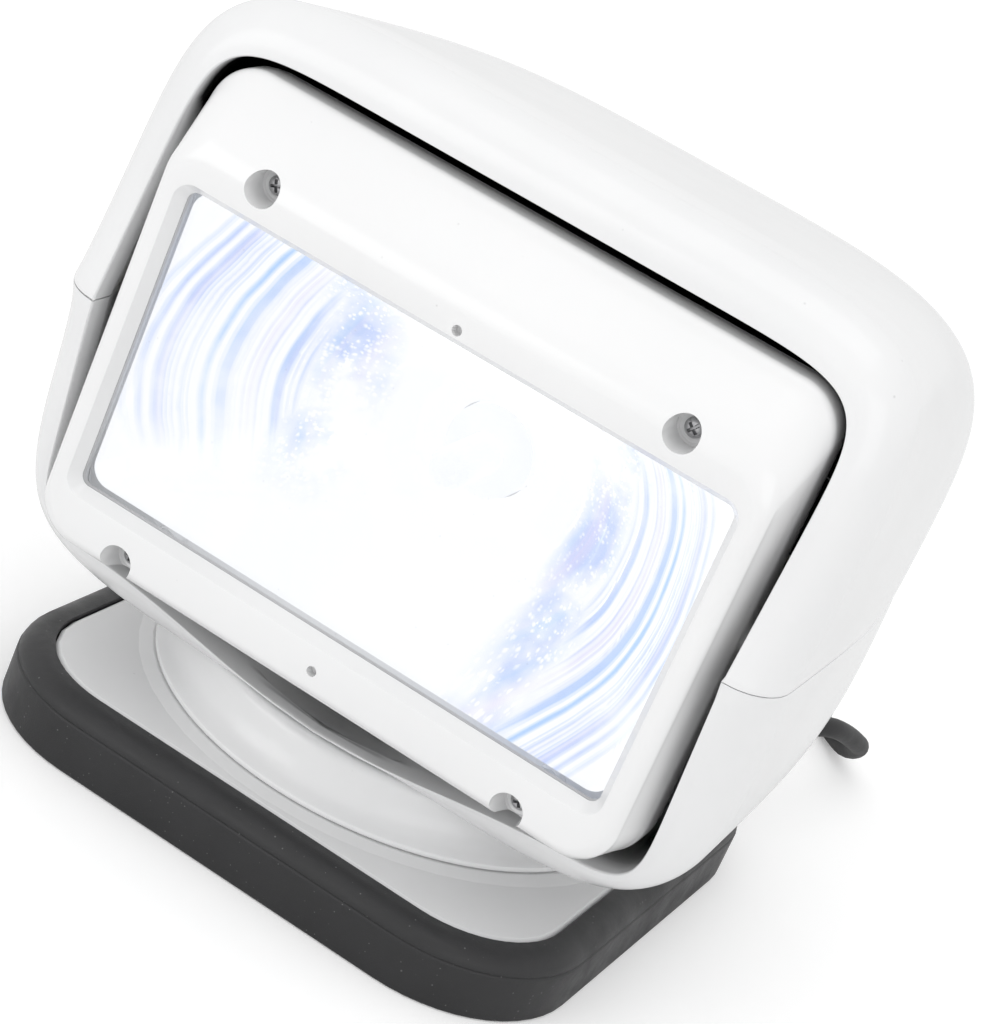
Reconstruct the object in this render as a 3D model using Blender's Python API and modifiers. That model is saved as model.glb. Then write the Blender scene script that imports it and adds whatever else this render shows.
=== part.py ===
"""Marine searchlight: a rubber-booted magnetic base, a panning housing and a tilting lamp head.

Metres, +Z up, -Y to the front, +X to the viewer's right. The origin is on the floor under the pan axis.
"""
import math

import bmesh
import bpy
from mathutils import Matrix, Vector

# Gap between faces that touch, depth to which joined solids run into each other, and reach of the cutters
GAP = 0.0003
OVERLAP = 0.0005
PAST = 0.0100
FAR = 0.3000

# Rubber boot
BOOT_WIDTH = 0.1890
BOOT_DEPTH = 0.1910
BOOT_CORNER = 0.0410
BOOT_PARTING = 0.0149
BOOT_HEIGHT = 0.0202
BOOT_FLOOR = 0.0025
BOOT_FOOT_ROUNDING = 0.0015
BOOT_SLOPE_SHARE = 0.72

# Magnets and steel keeper plate
MAGNET_RADIUS = 0.0180
MAGNET_THICKNESS = 0.0060
MAGNET_OFFSET = 0.0530
KEEPER_THICKNESS = 0.0020
KEEPER_HOLE = 0.0240

# White base plate
PLATE_SIZE = 0.1692
PLATE_CORNER = 0.0300
PLATE_WALL = 0.0030
PLATE_EDGE_ROUNDING = 0.0012
SEAT_HEIGHT = 0.0013
SEAT_MARGIN = 0.0006
SEAT_SLOPE = 0.0060

# Cable outlet on the rear right of the base plate
OUTLET_AZIMUTH = 53.0
OUTLET_OVERHANG = 0.0144
OUTLET_LENGTH = 0.0200
OUTLET_RADIUS = 0.0082
OUTLET_FLARE = 0.0012
OUTLET_WALL = 0.0040
OUTLET_RISE_SHARE = 0.45
OUTLET_CLIMB = 12.0

# Spindle, washer and nut that hold the housing to the base
SPINDLE_RADIUS = 0.0090
SPINDLE_BORE = 0.0055
SPINDLE_FLANGE_RADIUS = 0.0200
SPINDLE_FLANGE_THICKNESS = 0.0030
SPINDLE_TIP = 0.0030
SPINDLE_CHAMFER = 0.0006
WASHER_RADIUS = 0.0160
WASHER_THICKNESS = 0.0012
NUT_WIDTH = 0.0260
NUT_HEIGHT = 0.0050

# Gear pairs: the same teeth for pan and tilt
GEAR_MODULE = 0.0015
GEAR_TEETH = 30
PINION_TEETH = 12
GEAR_THICKNESS = 0.0043
PRESSURE_ANGLE = 20.0
TIP_HEIGHT_SHARE = 0.85
ROOT_DEPTH_SHARE = 1.15
BACKLASH = 0.00030
SHAFT_RADIUS = 0.0020
SHAFT_REACH = 0.0060
SECTOR_EDGE = 0.0066

# Round foot and neck of the housing
FOOT_RADIUS = 0.0770
FOOT_THICKNESS = 0.0016
NECK_RADIUS = 0.0690
SHOULDER_HEIGHT = 0.0380
SHOULDER_RADIUS = 0.0645
HOUSING_WALL = 0.0030
DECK_TOP = 0.0368
DECK_THICKNESS = 0.0024
DECK_HOLE_RADIUS = 0.0250
DECK_HOLE_HALF_WIDTH = 0.0220
DECK_MOTOR_ROOM = 0.0030
NECK_REACH = 0.0220
SHOULDER_EASE = (0.0026, 0.0009)
SHOULDER_FALL = 0.0045
SHOULDER_INNER_FALL = 0.0080

# Housing outline: half widths, and heights above and below the seam
SEAM_HEIGHT = 0.1220
BODY_HALF_WIDTH = 0.1150
BODY_RISE = 0.0957
BODY_DROP = 0.0870
REAR_REACH = 0.0950
ROOF_FALL = 0.0250
BELLY_RISE = 0.0160

# How square the housing's sections are at the mouth, how much that fades, and how late each side closes in
PLAN_POWER = 3.6
ROOF_POWER = 6.5
ROOF_POWER_FADE = 2.5
ROOF_CLOSING_POWER = 7
BELLY_POWER = 5.0
BELLY_POWER_FADE = 1.0
BELLY_CLOSING_POWER = 5

# Mouth: its border inside the housing's outline, its edge and the dip of the lip
BORDER_SIDE = 0.0140
BORDER_TOP = 0.0153
BORDER_LIP = 0.0135
MOUTH_FRONT = 0.0825
MOUTH_RAKE = 0.1900
MOUTH_TOP_POWER = 10.0
MOUTH_LIP_POWER = 12.0
MOUTH_EDGE_ROUNDING = 0.0010
MOUTH_FACE_INSET = 0.0040
LIP_DIP = 0.0100
LIP_DIP_INSET = 0.0160
BAND_DEPTH = 0.0160
THROAT_START = 0.0008
THROAT_SHARE = 0.4

# Tilt axis: its distance in front of the pan axis, and the bearings at the seam
TILT_FORWARD = 0.0480
TRUNNION_RADIUS = 0.0050
TRUNNION_HEAD_RADIUS = 0.0072
TRUNNION_SHOULDER_RADIUS = 0.0066
TRUNNION_HEAD_THICKNESS = 0.0030
BUSH_WALL = 0.0030
BUSH_LENGTH = 0.0100
BUSH_SETBACK = 0.0009
BEARING_WALL = 0.0040

# Lamp head: its gaps inside the mouth, its depth and its sloping brow
HEAD_SIDE_GAP = 0.0040
HEAD_TOP_GAP = 0.0044
HEAD_LIP_GAP = 0.0055
HEAD_FACE = 0.0860
HEAD_BACK = 0.0600
HEAD_WALL = 0.0030
HEAD_CORNER = 0.0140
BROW_DROP = 0.0220
BROW_START = 0.0680
BROW_BEND = 0.0020
BROW_EDGE = 0.0012
SIDE_EDGE = 0.0002

# Face: how far it stands inside the head's outline, and how much of that its rounded edge takes
FACE_INSET_SIDE = 0.0065
FACE_INSET_CHIN = 0.0055
FACE_INSET_BROW = 0.0020
FACE_ROUNDING = 0.0040
CHIN_ROUNDING = 0.0035
FACE_STEPS = 4

# Window: the borders round it, its sloping edge, and the glass, gasket and reflector behind it
WINDOW_BORDER_SIDE = 0.0115
WINDOW_BORDER_CHIN = 0.0195
WINDOW_BORDER_BROW = 0.0115
WINDOW_CORNER = 0.0030
WINDOW_SLOPE = 0.61
FACE_THICKNESS = 0.0038
GASKET_THICKNESS = 0.0014
GASKET_WIDTH = 0.0035
LENS_MARGIN = 0.0005
LENS_THICKNESS = 0.0035
REFLECTOR_WALL = 0.0012
REFLECTOR_BACK = 0.0220
REFLECTOR_THROAT = 0.0140
REFLECTOR_CURVE = 0.62
REFLECTOR_CORNER = 0.0060
REFLECTOR_CORNER_GROWTH = 0.0200
REFLECTOR_SHARES = [0.0, 0.12, 0.28, 0.46, 0.64, 0.80, 0.92, 1.0]

# Face screws in their pockets, and the two small holes
SCREW_INSET_SIDE = 0.0320
SCREW_INSET_BROW = 0.0005
SCREW_INSET_CHIN = 0.0058
POCKET_RADIUS = 0.0050
POCKET_WALL = 0.0020
POCKET_DEPTH = 0.0105
SCREW_HEAD_RADIUS = 0.0028
SCREW_HEAD_HEIGHT = 0.0022
SCREW_SHANK_RADIUS = 0.0015
SCREW_LENGTH = 0.0240
SLOT_REACH = 0.0019
SLOT_HALF_WIDTH = 0.0004
SLOT_DEPTH = 0.0010
SMALL_HOLE_RADIUS = 0.0015
SMALL_HOLE_MARGIN = 0.0048

# Rear case, ears, bulb and cap
CASE_INSET = 0.0005
CASE_WALL = 0.0025
CASE_HOLLOW_LAG = 0.0020
CASE_FLANGE = 0.0028
CASE_BACK = 0.0080
CASE_SHOULDER_SIDE = 0.0185
CASE_SHOULDER_TOP = 0.0090
CASE_SHOULDER_BOTTOM = 0.0010
CASE_SHOULDER_DEPTH = 0.0048
CASE_SHOULDER_CORNER = 0.0180
CASE_BOSS_RADIUS = 0.0045
CASE_BOSS_LENGTH = 0.0160
CASE_HOLE_LENGTH = 0.0135
TRUNNION_SEAT_REACH = 0.0220
EAR_SETBACK = 0.0070
EAR_THICKNESS = 0.0080
EAR_RADIUS = 0.0120

# Sections of the case behind its shoulder: shares of the case's half width and of the window's half height,
# depth as a share of the way from the shoulder to the back, and corner
CASE_SECTIONS = [(0.663, 1.29, 0.16, 0.0240), (0.580, 0.94, 0.52, 0.0320), (0.456, 0.63, 0.90, 0.0240),
                 (0.352, 0.54, 1.00, 0.0200)]

# Bulb, its holder and the cap behind it
BULB_RADIUS = 0.0060
BULB_LENGTH = 0.0300
BULB_STEM_RADIUS = 0.0035
BULB_STEM_LENGTH = 0.0050
HOLDER_FRONT = 0.0230
CAP_RADIUS = 0.0240
CAP_TAPER = 0.0020
CAP_ROUNDING = 0.0012
CAP_DEPTH = 0.0090

# Motors, driver and control board
MOTOR_RADIUS = 0.0110
MOTOR_EDGE = 0.0010
MOTOR_ARM_HEIGHT = 0.0040
PAN_MOTOR_LENGTH = 0.0300
PAN_MOTOR_FEET = [(-0.0170, 0.0), (0.0170, 0.0)]
TILT_MOTOR_LENGTH = 0.0215
TILT_MOTOR_FEET = [(0.0260, -0.0040), (0.0170, -0.0210)]
MOTOR_ANGLE = -20.0
DRIVER_SIZE = (0.0460, 0.0400, 0.0200)
DRIVER_CENTRE = (-0.0390, 0.0360)
DRIVER_SEAT = 0.0580
DRIVER_ROUNDING = 0.0015
BOARD_SIZE = (0.0440, 0.0400)
BOARD_CENTRE = (0.0390, 0.0360)
BOARD_SEAT = 0.0580
BOARD_THICKNESS = 0.0016
RELAY_SIZE = (0.0160, 0.0150, 0.0140)
RELAY_INSET = 0.0040
BOARD_PLUG_SIZE = (0.0060, 0.0280, 0.0070)
BOARD_PLUG_INSET = (0.0020, 0.0060)
POST_RADIUS = 0.0030
POST_INSET = 0.0040
LEG_RADIUS = 0.0034
CHEEK_POST_RADIUS = 0.0040

# Lead, strain relief, coil and plug
CORD_RADIUS = 0.0033
CORD_REST = CORD_RADIUS + GAP
RELIEF_LENGTH = 0.0480
RELIEF_ROOT = 0.0120
RELIEF_RADIUS = 0.0048
RELIEF_TIP_WALL = 0.0004
LEAD_RUN = 0.0180
LEAD_KNOTS = [(0.1010, 0.1360, 0.0265), (0.1060, 0.1540, 0.0155), (0.1000, 0.1800, 0.0050),
              (0.0800, 0.2030, CORD_REST), (0.0450, 0.2160, CORD_REST)]
LEAD_MEETS_COIL = 67.5
TAIL_LEAVES_COIL = 172.5
TAIL_KNOTS = [(-0.0590, 0.1580, CORD_REST), (-0.0600, 0.1380, CORD_REST), (-0.0660, 0.1180, CORD_REST),
              (-0.0830, 0.1070, 0.0050), (-0.1000, 0.1150, 0.0085)]
TAIL_RUN = 0.0140
ROUTE_SPACING = 0.0165
COIL_CENTRE = (-0.0080, 0.1760)
COIL_MEAN_RADIUS = 0.0360
COIL_HALF_WIDTH = 0.0102
COIL_HEIGHT = 0.0268
COIL_POWER = 3.0
COIL_FACET_LOSS = 0.0008
PLUG_PLACE = (-0.1060, 0.1450)
PLUG_RADIUS = 0.0115
PLUG_BODY_LENGTH = 0.0520
PLUG_CABLE_END = (0.0055, 0.0)
PLUG_NECK = (0.0070, 0.0100)
PLUG_GRIP_START = 0.0200
PLUG_NOSE_LENGTH = 0.0200
PLUG_NOSE_RADIUS = 0.0104
PLUG_NOSE_TAPER = 0.0060
PLUG_NOSE_SHOULDER_RADIUS = 0.0098
PLUG_NOSE_TIP_RADIUS = 0.0050
PLUG_CONTACT_LENGTH = 0.0045
PLUG_CONTACT_RADIUS = 0.0030
PLUG_CONTACT_TIP_RADIUS = 0.0020

# Heights and places that follow from the sizes above
MAGNET_BASE = BOOT_FLOOR + GAP
KEEPER_BASE = MAGNET_BASE + MAGNET_THICKNESS + GAP
PLATE_BASE = KEEPER_BASE + KEEPER_THICKNESS + GAP
PLATE_TOP = BOOT_HEIGHT
OUTLET_REACH = PLATE_SIZE / 2 + OUTLET_OVERHANG
SEAT_TOP = PLATE_TOP + SEAT_HEIGHT
FOOT_BASE = SEAT_TOP + GAP
FLOOR_TOP = FOOT_BASE + HOUSING_WALL
WASHER_BASE = FLOOR_TOP + GAP
SUN_BASE = WASHER_BASE + WASHER_THICKNESS + GAP
NUT_BASE = SUN_BASE + GEAR_THICKNESS + GAP
NUT_TOP = NUT_BASE + NUT_HEIGHT
SPINDLE_HOLE = SPINDLE_RADIUS + GAP
GEAR_DISTANCE = GEAR_MODULE * (GEAR_TEETH + PINION_TEETH) / 2
MOUTH_HALF_WIDTH = BODY_HALF_WIDTH - BORDER_SIDE
MOUTH_RISE = BODY_RISE - BORDER_TOP
MOUTH_DROP = BODY_DROP - BORDER_LIP
LIP_DIP_REACH = MOUTH_HALF_WIDTH - LIP_DIP_INSET
TILT_AXIS = Vector((0.0, -TILT_FORWARD, SEAM_HEIGHT))
MOTOR_TURN = math.radians(MOTOR_ANGLE)
PAN_MESH = math.pi / 2
TILT_MESH = math.pi / 2 - MOTOR_TURN
TILT_PINION_Y = -TILT_FORWARD + GEAR_DISTANCE * math.cos(MOTOR_TURN)
TILT_PINION_Z = SEAM_HEIGHT + GEAR_DISTANCE * math.sin(MOTOR_TURN)
HEAD_HALF_WIDTH = MOUTH_HALF_WIDTH - HEAD_SIDE_GAP
HEAD_TOP = SEAM_HEIGHT + MOUTH_RISE - HEAD_TOP_GAP
HEAD_BOTTOM = SEAM_HEIGHT - MOUTH_DROP + HEAD_LIP_GAP
FACE_TOP = HEAD_TOP - BROW_DROP
WINDOW_HALF_WIDTH = HEAD_HALF_WIDTH - WINDOW_BORDER_SIDE
WINDOW_TOP = FACE_TOP - WINDOW_BORDER_BROW
WINDOW_BOTTOM = HEAD_BOTTOM + WINDOW_BORDER_CHIN
WINDOW_HEIGHT = (WINDOW_TOP + WINDOW_BOTTOM) / 2
WINDOW_HALF_HEIGHT = (WINDOW_TOP - WINDOW_BOTTOM) / 2
CASE_HALF_WIDTH = HEAD_HALF_WIDTH - CASE_INSET
EAR_OUTER_X = HEAD_HALF_WIDTH - EAR_SETBACK
EAR_INNER_X = EAR_OUTER_X - EAR_THICKNESS
GEAR_INNER_X = EAR_OUTER_X + GAP
GEAR_OUTER_X = GEAR_INNER_X + GEAR_THICKNESS
BUSH_INNER_X = MOUTH_HALF_WIDTH + BUSH_SETBACK
CHEEK_POST_X = HEAD_HALF_WIDTH + HEAD_SIDE_GAP / 4
BUSH_OUTER_X = BUSH_INNER_X + BUSH_LENGTH
BUSH_RADIUS = TRUNNION_RADIUS + GAP + BUSH_WALL
BUSH_BORE = TRUNNION_RADIUS + GAP
BEARING_RADIUS = BUSH_RADIUS + GAP + BEARING_WALL
LENS_FRONT = HEAD_FACE - FACE_THICKNESS - GAP - GASKET_THICKNESS - GAP
LENS_BACK = LENS_FRONT - LENS_THICKNESS
REFLECTOR_FRONT = LENS_BACK - GAP
HOLDER_RADIUS = REFLECTOR_THROAT - GAP
POCKET_FLOOR = HEAD_FACE - POCKET_DEPTH
POCKETS = [(side * (HEAD_HALF_WIDTH - SCREW_INSET_SIDE), height)
           for height in (FACE_TOP - SCREW_INSET_BROW, HEAD_BOTTOM + SCREW_INSET_CHIN) for side in (-1, 1)]

# Fineness of the curved forms
RING_STEPS = 12
BODY_STEPS = 9
BAND_STEPS = 5
CORNER_STEPS = 5
PLATE_CORNER_STEPS = 6
BOOT_CORNER_STEPS = 8
NECK_STEPS = 48
RIM_STEPS = 32
DISC_STEPS = 24
SMALL_STEPS = 16
POST_STEPS = 12
ROUTE_FINENESS = 24
COIL_SECTION_STEPS = 10


def clear_scene():
    for item in list(bpy.data.objects):
        bpy.data.objects.remove(item, do_unlink=True)


def collection(name):
    made = bpy.data.collections.new(name)
    bpy.context.scene.collection.children.link(made)
    return made


clear_scene()
PARTS = collection("searchlight")
CUTTERS = collection("cutters")
MATERIALS = {}


def material(name, colour, roughness, metallic=0.0):
    made = bpy.data.materials.new(name)
    made.use_nodes = True
    shader = made.node_tree.nodes["Principled BSDF"]
    shader.inputs["Base Color"].default_value = (*colour, 1.0)
    shader.inputs["Roughness"].default_value = roughness
    shader.inputs["Metallic"].default_value = metallic
    MATERIALS[name] = made


material("white_plastic", (0.86, 0.86, 0.85), 0.22)
material("plate_plastic", (0.74, 0.74, 0.74), 0.35)
material("boot_rubber", (0.035, 0.035, 0.037), 0.60)
material("cord_rubber", (0.020, 0.020, 0.022), 0.45)
material("lens_glass", (0.90, 0.94, 0.98), 0.05)
material("mirror", (0.88, 0.90, 0.94), 0.08, 1.0)
material("steel", (0.55, 0.55, 0.56), 0.35, 1.0)
material("magnet", (0.10, 0.10, 0.11), 0.50)
material("gear_plastic", (0.80, 0.78, 0.70), 0.45)
material("motor_metal", (0.45, 0.45, 0.46), 0.40, 1.0)
material("board", (0.05, 0.22, 0.10), 0.55)
material("driver_case", (0.30, 0.31, 0.32), 0.45, 1.0)
material("brass", (0.70, 0.55, 0.25), 0.35, 1.0)


def link(obj, slot=None):
    """Put an object with the parts, or with the cutters where it has no material."""
    if slot is None:
        CUTTERS.objects.link(obj)
        obj.hide_render = True
        obj.display_type = "WIRE"
    else:
        PARTS.objects.link(obj)
        obj.data.materials.append(MATERIALS[slot])
    return obj


def from_bmesh(name, bm, slot=None, smooth=40.0):
    bmesh.ops.recalc_face_normals(bm, faces=bm.faces)
    mesh = bpy.data.meshes.new(name)
    bm.to_mesh(mesh)
    bm.free()
    mesh.shade_smooth()
    mesh.set_sharp_from_angle(angle=math.radians(smooth))
    return link(bpy.data.objects.new(name, mesh), slot)


def box(name, low, high, slot=None, rounding=0.0):
    bm = bmesh.new()
    size = Vector(high) - Vector(low)
    middle = (Vector(high) + Vector(low)) / 2
    bmesh.ops.create_cube(bm, size=1.0, matrix=Matrix.Translation(middle) @ Matrix.Diagonal((*size, 1.0)))
    obj = from_bmesh(name, bm, slot)
    if rounding:
        bevel(obj, rounding)
    return obj


def cylinder(name, radius, start, end, slot=None, steps=32, end_radius=None):
    """A cylinder or cone from one point to another."""
    start, end = Vector(start), Vector(end)
    along = end - start
    turn = along.to_track_quat("Z", "Y").to_matrix().to_4x4()
    bm = bmesh.new()
    bmesh.ops.create_cone(bm, cap_ends=True, segments=steps, radius1=radius,
                          radius2=radius if end_radius is None else end_radius, depth=along.length,
                          matrix=Matrix.Translation((start + end) / 2) @ turn)
    return from_bmesh(name, bm, slot)


def turned(name, profile, slot=None, steps=48):
    """A solid turned about Z from (radius, height) points, down its outer side."""
    bm = bmesh.new()
    corners = [bm.verts.new((radius, 0.0, height)) for radius, height in profile]
    for first, second in zip(corners, corners[1:]):
        bm.edges.new((first, second))
    if profile[0][0] > 0 and profile[-1][0] > 0:
        bm.edges.new((corners[-1], corners[0]))
    mesh = bpy.data.meshes.new(name)
    bm.to_mesh(mesh)
    bm.free()
    obj = link(bpy.data.objects.new(name, mesh), slot)
    screw = obj.modifiers.new("turn", "SCREW")
    screw.axis = "Z"
    screw.steps = steps
    screw.render_steps = steps
    screw.use_merge_vertices = True
    screw.merge_threshold = 0.00001
    screw.use_smooth_shade = False
    return obj


def bevel(obj, width, segments=2, angle=50.0):
    mod = obj.modifiers.new("rounded edges", "BEVEL")
    mod.width = width
    mod.segments = segments
    mod.limit_method = "ANGLE"
    mod.angle_limit = math.radians(angle)
    return obj


def combine(obj, other, operation):
    """Add a Boolean step; the other solid is given in the object's own space and goes where it goes."""
    other.parent = obj
    mod = obj.modifiers.new(other.name, "BOOLEAN")
    mod.operation = operation
    mod.object = other
    mod.solver = "EXACT"
    return obj


def cut(obj, *others):
    for other in others:
        combine(obj, other, "DIFFERENCE")
    return obj


def join(obj, *others):
    for other in others:
        combine(obj, other, "UNION")
    return obj


def rounded_rectangle(half_width, low, high, corner, steps=CORNER_STEPS):
    """Outline points (across, up), counter-clockwise from the lower right corner."""
    points = []
    centres = [(half_width - corner, low + corner, -90.0), (half_width - corner, high - corner, 0.0),
               (corner - half_width, high - corner, 90.0), (corner - half_width, low + corner, 180.0)]
    for across, up, start in centres:
        for step in range(steps + 1):
            angle = math.radians(start + 90.0 * step / steps)
            points.append((across + corner * math.cos(angle), up + corner * math.sin(angle)))
    return points


def loft(name, rings, slot=None, smooth=40.0):
    """A closed solid through rings of equally many points, with flat ends."""
    bm = bmesh.new()
    rows = [[bm.verts.new(point) for point in ring] for ring in rings]
    for near, far in zip(rows, rows[1:]):
        for index in range(len(near)):
            following = (index + 1) % len(near)
            bm.faces.new((near[index], near[following], far[following], far[index]))
    bm.faces.new(rows[0])
    bm.faces.new(rows[-1])
    return from_bmesh(name, bm, slot, smooth)


def level_ring(outline, height):
    return [(across, up, height) for across, up in outline]


def upright_ring(outline, depth):
    return [(across, depth, up) for across, up in outline]


def attach(obj, parent):
    """Parent an object that was made in place, and keep it there."""
    obj.parent = parent
    obj.location = obj.location - parent.matrix_world.translation
    return obj


def empty(name, place, parent=None):
    made = bpy.data.objects.new(name, None)
    PARTS.objects.link(made)
    made.location = place
    bpy.context.view_layer.update()
    if parent:
        attach(made, parent)
        bpy.context.view_layer.update()
    return made


def make_boot():
    """Tray with upright sides to its parting line and a rounded slope up to the plate."""
    slope = (min(BOOT_WIDTH, BOOT_DEPTH) - PLATE_SIZE) / 2 - GAP
    climb = BOOT_HEIGHT - BOOT_PARTING
    stations = [(0.0, BOOT_FOOT_ROUNDING), (BOOT_FOOT_ROUNDING, 0.0), (BOOT_PARTING, 0.0)]
    for step in range(1, 5):
        angle = math.radians(90.0 * step / 4)
        stations.append((BOOT_PARTING + climb * math.sin(angle),
                         BOOT_SLOPE_SHARE * slope * (1 - math.cos(angle))))
    rings = []
    for height, inset in stations:
        outline = rounded_rectangle(BOOT_WIDTH / 2 - inset, inset - BOOT_DEPTH / 2,
                                    BOOT_DEPTH / 2 - inset, BOOT_CORNER - inset, BOOT_CORNER_STEPS)
        rings.append(level_ring(outline, height))
    boot = loft("rubber_boot", rings, "boot_rubber")
    half = PLATE_SIZE / 2 + GAP
    hollow = rounded_rectangle(half, -half, half, PLATE_CORNER + GAP, PLATE_CORNER_STEPS)
    recess = loft("boot_recess", [level_ring(hollow, BOOT_FLOOR), level_ring(hollow, BOOT_HEIGHT + PAST)])
    return cut(boot, recess)


def make_magnets():
    made = []
    for side, across in (("left", -1), ("right", 1)):
        for end, back in (("front", -1), ("rear", 1)):
            place = (across * MAGNET_OFFSET, back * MAGNET_OFFSET)
            made.append(cylinder(f"magnet_{end}_{side}", MAGNET_RADIUS, (*place, MAGNET_BASE),
                                 (*place, MAGNET_BASE + MAGNET_THICKNESS), "magnet", steps=DISC_STEPS))
    return made


def make_keeper():
    half = PLATE_SIZE / 2 - 2 * GAP
    outline = rounded_rectangle(half, -half, half, PLATE_CORNER - 2 * GAP)
    keeper = loft("steel_keeper", [level_ring(outline, KEEPER_BASE),
                                   level_ring(outline, KEEPER_BASE + KEEPER_THICKNESS)], "steel")
    hole = cylinder("keeper_hole", KEEPER_HOLE, (0, 0, 0), (0, 0, PLATE_TOP), steps=RIM_STEPS)
    return cut(keeper, hole)


def outlet_axis():
    """Mouth of the cable outlet and the direction in which the lead leaves it."""
    turn = math.radians(OUTLET_AZIMUTH)
    climb = math.radians(OUTLET_CLIMB)
    along = Vector((math.cos(turn) * math.cos(climb), math.sin(turn) * math.cos(climb), math.sin(climb)))
    mouth = Vector((OUTLET_REACH * math.cos(turn), OUTLET_REACH * math.sin(turn),
                    PLATE_TOP + OUTLET_RISE_SHARE * OUTLET_RADIUS))
    return mouth, along


def make_base_plate():
    """Hollow lid with a raised round seat for the housing and a hood-shaped cable outlet."""
    half = PLATE_SIZE / 2
    outline = rounded_rectangle(half, -half, half, PLATE_CORNER, PLATE_CORNER_STEPS)
    inset = PLATE_EDGE_ROUNDING
    top = rounded_rectangle(half - inset, inset - half, half - inset, PLATE_CORNER - inset, PLATE_CORNER_STEPS)
    plate = loft("base_plate", [level_ring(outline, PLATE_BASE), level_ring(outline, PLATE_TOP - inset),
                                level_ring(top, PLATE_TOP)], "plate_plastic")
    seat = turned("plate_seat", [(0.0, SEAT_TOP), (FOOT_RADIUS + SEAT_MARGIN, SEAT_TOP),
                                 (FOOT_RADIUS + SEAT_SLOPE, PLATE_TOP - OVERLAP), (0.0, PLATE_TOP - OVERLAP)],
                  steps=NECK_STEPS)
    half_in = half - PLATE_WALL
    inner = rounded_rectangle(half_in, -half_in, half_in, PLATE_CORNER - PLATE_WALL, PLATE_CORNER_STEPS)
    hollow = loft("plate_hollow", [level_ring(inner, PLATE_BASE - PAST),
                                   level_ring(inner, PLATE_TOP - PLATE_WALL)])
    mouth, along = outlet_axis()
    boss = cylinder("outlet_boss", OUTLET_RADIUS + OUTLET_FLARE, mouth - along * OUTLET_LENGTH, mouth,
                    steps=SMALL_STEPS, end_radius=OUTLET_RADIUS)
    floor = box("outlet_floor", (-FAR, -FAR, -FAR), (FAR, FAR, PLATE_TOP - PLATE_WALL / 2))
    cut(boss, floor)
    passage = cylinder("outlet_passage", RELIEF_RADIUS + GAP, mouth - along * (OUTLET_LENGTH - OUTLET_WALL),
                       mouth + along * PAST, steps=SMALL_STEPS)
    centre = cylinder("plate_hole", SPINDLE_HOLE, (0, 0, 0), (0, 0, FAR), steps=RIM_STEPS)
    join(plate, seat, boss)
    return cut(plate, hollow, passage, centre)


def make_spindle():
    """Hollow pin with a flange under the base plate; the wires pass up through it."""
    flange_top = PLATE_TOP - PLATE_WALL - GAP
    flange_base = flange_top - SPINDLE_FLANGE_THICKNESS
    tip = NUT_TOP + SPINDLE_TIP
    profile = [(SPINDLE_BORE, tip), (SPINDLE_RADIUS - SPINDLE_CHAMFER, tip),
               (SPINDLE_RADIUS, tip - SPINDLE_CHAMFER),
               (SPINDLE_RADIUS, flange_top), (SPINDLE_FLANGE_RADIUS, flange_top),
               (SPINDLE_FLANGE_RADIUS, flange_base), (SPINDLE_BORE, flange_base)]
    return turned("spindle", profile, "steel", steps=RIM_STEPS)


def make_washer():
    top = WASHER_BASE + WASHER_THICKNESS
    profile = [(SPINDLE_HOLE, top), (WASHER_RADIUS, top), (WASHER_RADIUS, WASHER_BASE),
               (SPINDLE_HOLE, WASHER_BASE)]
    return turned("thrust_washer", profile, "steel", steps=RIM_STEPS)


def make_spindle_nut():
    nut = cylinder("spindle_nut", NUT_WIDTH / math.sqrt(3), (0, 0, NUT_BASE), (0, 0, NUT_TOP), "steel", steps=6)
    hole = cylinder("nut_hole", SPINDLE_HOLE, (0, 0, 0), (0, 0, FAR), steps=RIM_STEPS)
    return cut(nut, hole)


def gear_outline(teeth, turn=0.0):
    """Tooth outline: each flank runs from root through pitch circle to tip along an involute."""
    pitch = GEAR_MODULE * teeth / 2
    base = pitch * math.cos(math.radians(PRESSURE_ANGLE))
    tip = pitch + TIP_HEIGHT_SHARE * GEAR_MODULE
    root = pitch - ROOT_DEPTH_SHARE * GEAR_MODULE

    def half_angle(radius):
        """Half the tooth's angle at a radius, less its share of the backlash."""
        def involute(angle):
            return math.tan(angle) - angle
        lean = math.acos(min(1.0, base / radius))
        at_pitch = math.pi / (2 * teeth) - BACKLASH / (4 * pitch)
        return at_pitch + involute(math.radians(PRESSURE_ANGLE)) - involute(lean)

    radii = [root, pitch, tip]
    points = []
    for tooth in range(teeth):
        middle = turn + 2 * math.pi * tooth / teeth
        for radius in radii:
            angle = middle - half_angle(max(radius, base))
            points.append((radius * math.cos(angle), radius * math.sin(angle)))
        for radius in reversed(radii):
            angle = middle + half_angle(max(radius, base))
            points.append((radius * math.cos(angle), radius * math.sin(angle)))
    return points


def make_gear(name, teeth, bore, turn=0.0):
    """A gear on Z, its lower face at the origin, made from a flat outline."""
    rings = [level_ring(gear_outline(teeth, turn), height) for height in (0.0, GEAR_THICKNESS)]
    gear = loft(name, rings, "gear_plastic", smooth=20.0)
    if bore:
        cut(gear, cylinder(f"{name}_bore", bore, (0, 0, -PAST), (0, 0, PAST), steps=RIM_STEPS))
    return gear


def make_pinion(name, turn):
    """A pinion on Z with the short shaft that carries it in its motor's nose."""
    pinion = make_gear(name, PINION_TEETH, None, turn)
    shaft = cylinder(f"{name}_shaft", SHAFT_RADIUS, (0, 0, GEAR_THICKNESS / 2),
                     (0, 0, GEAR_THICKNESS + SHAFT_REACH), steps=SMALL_STEPS)
    return join(pinion, shaft)


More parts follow.
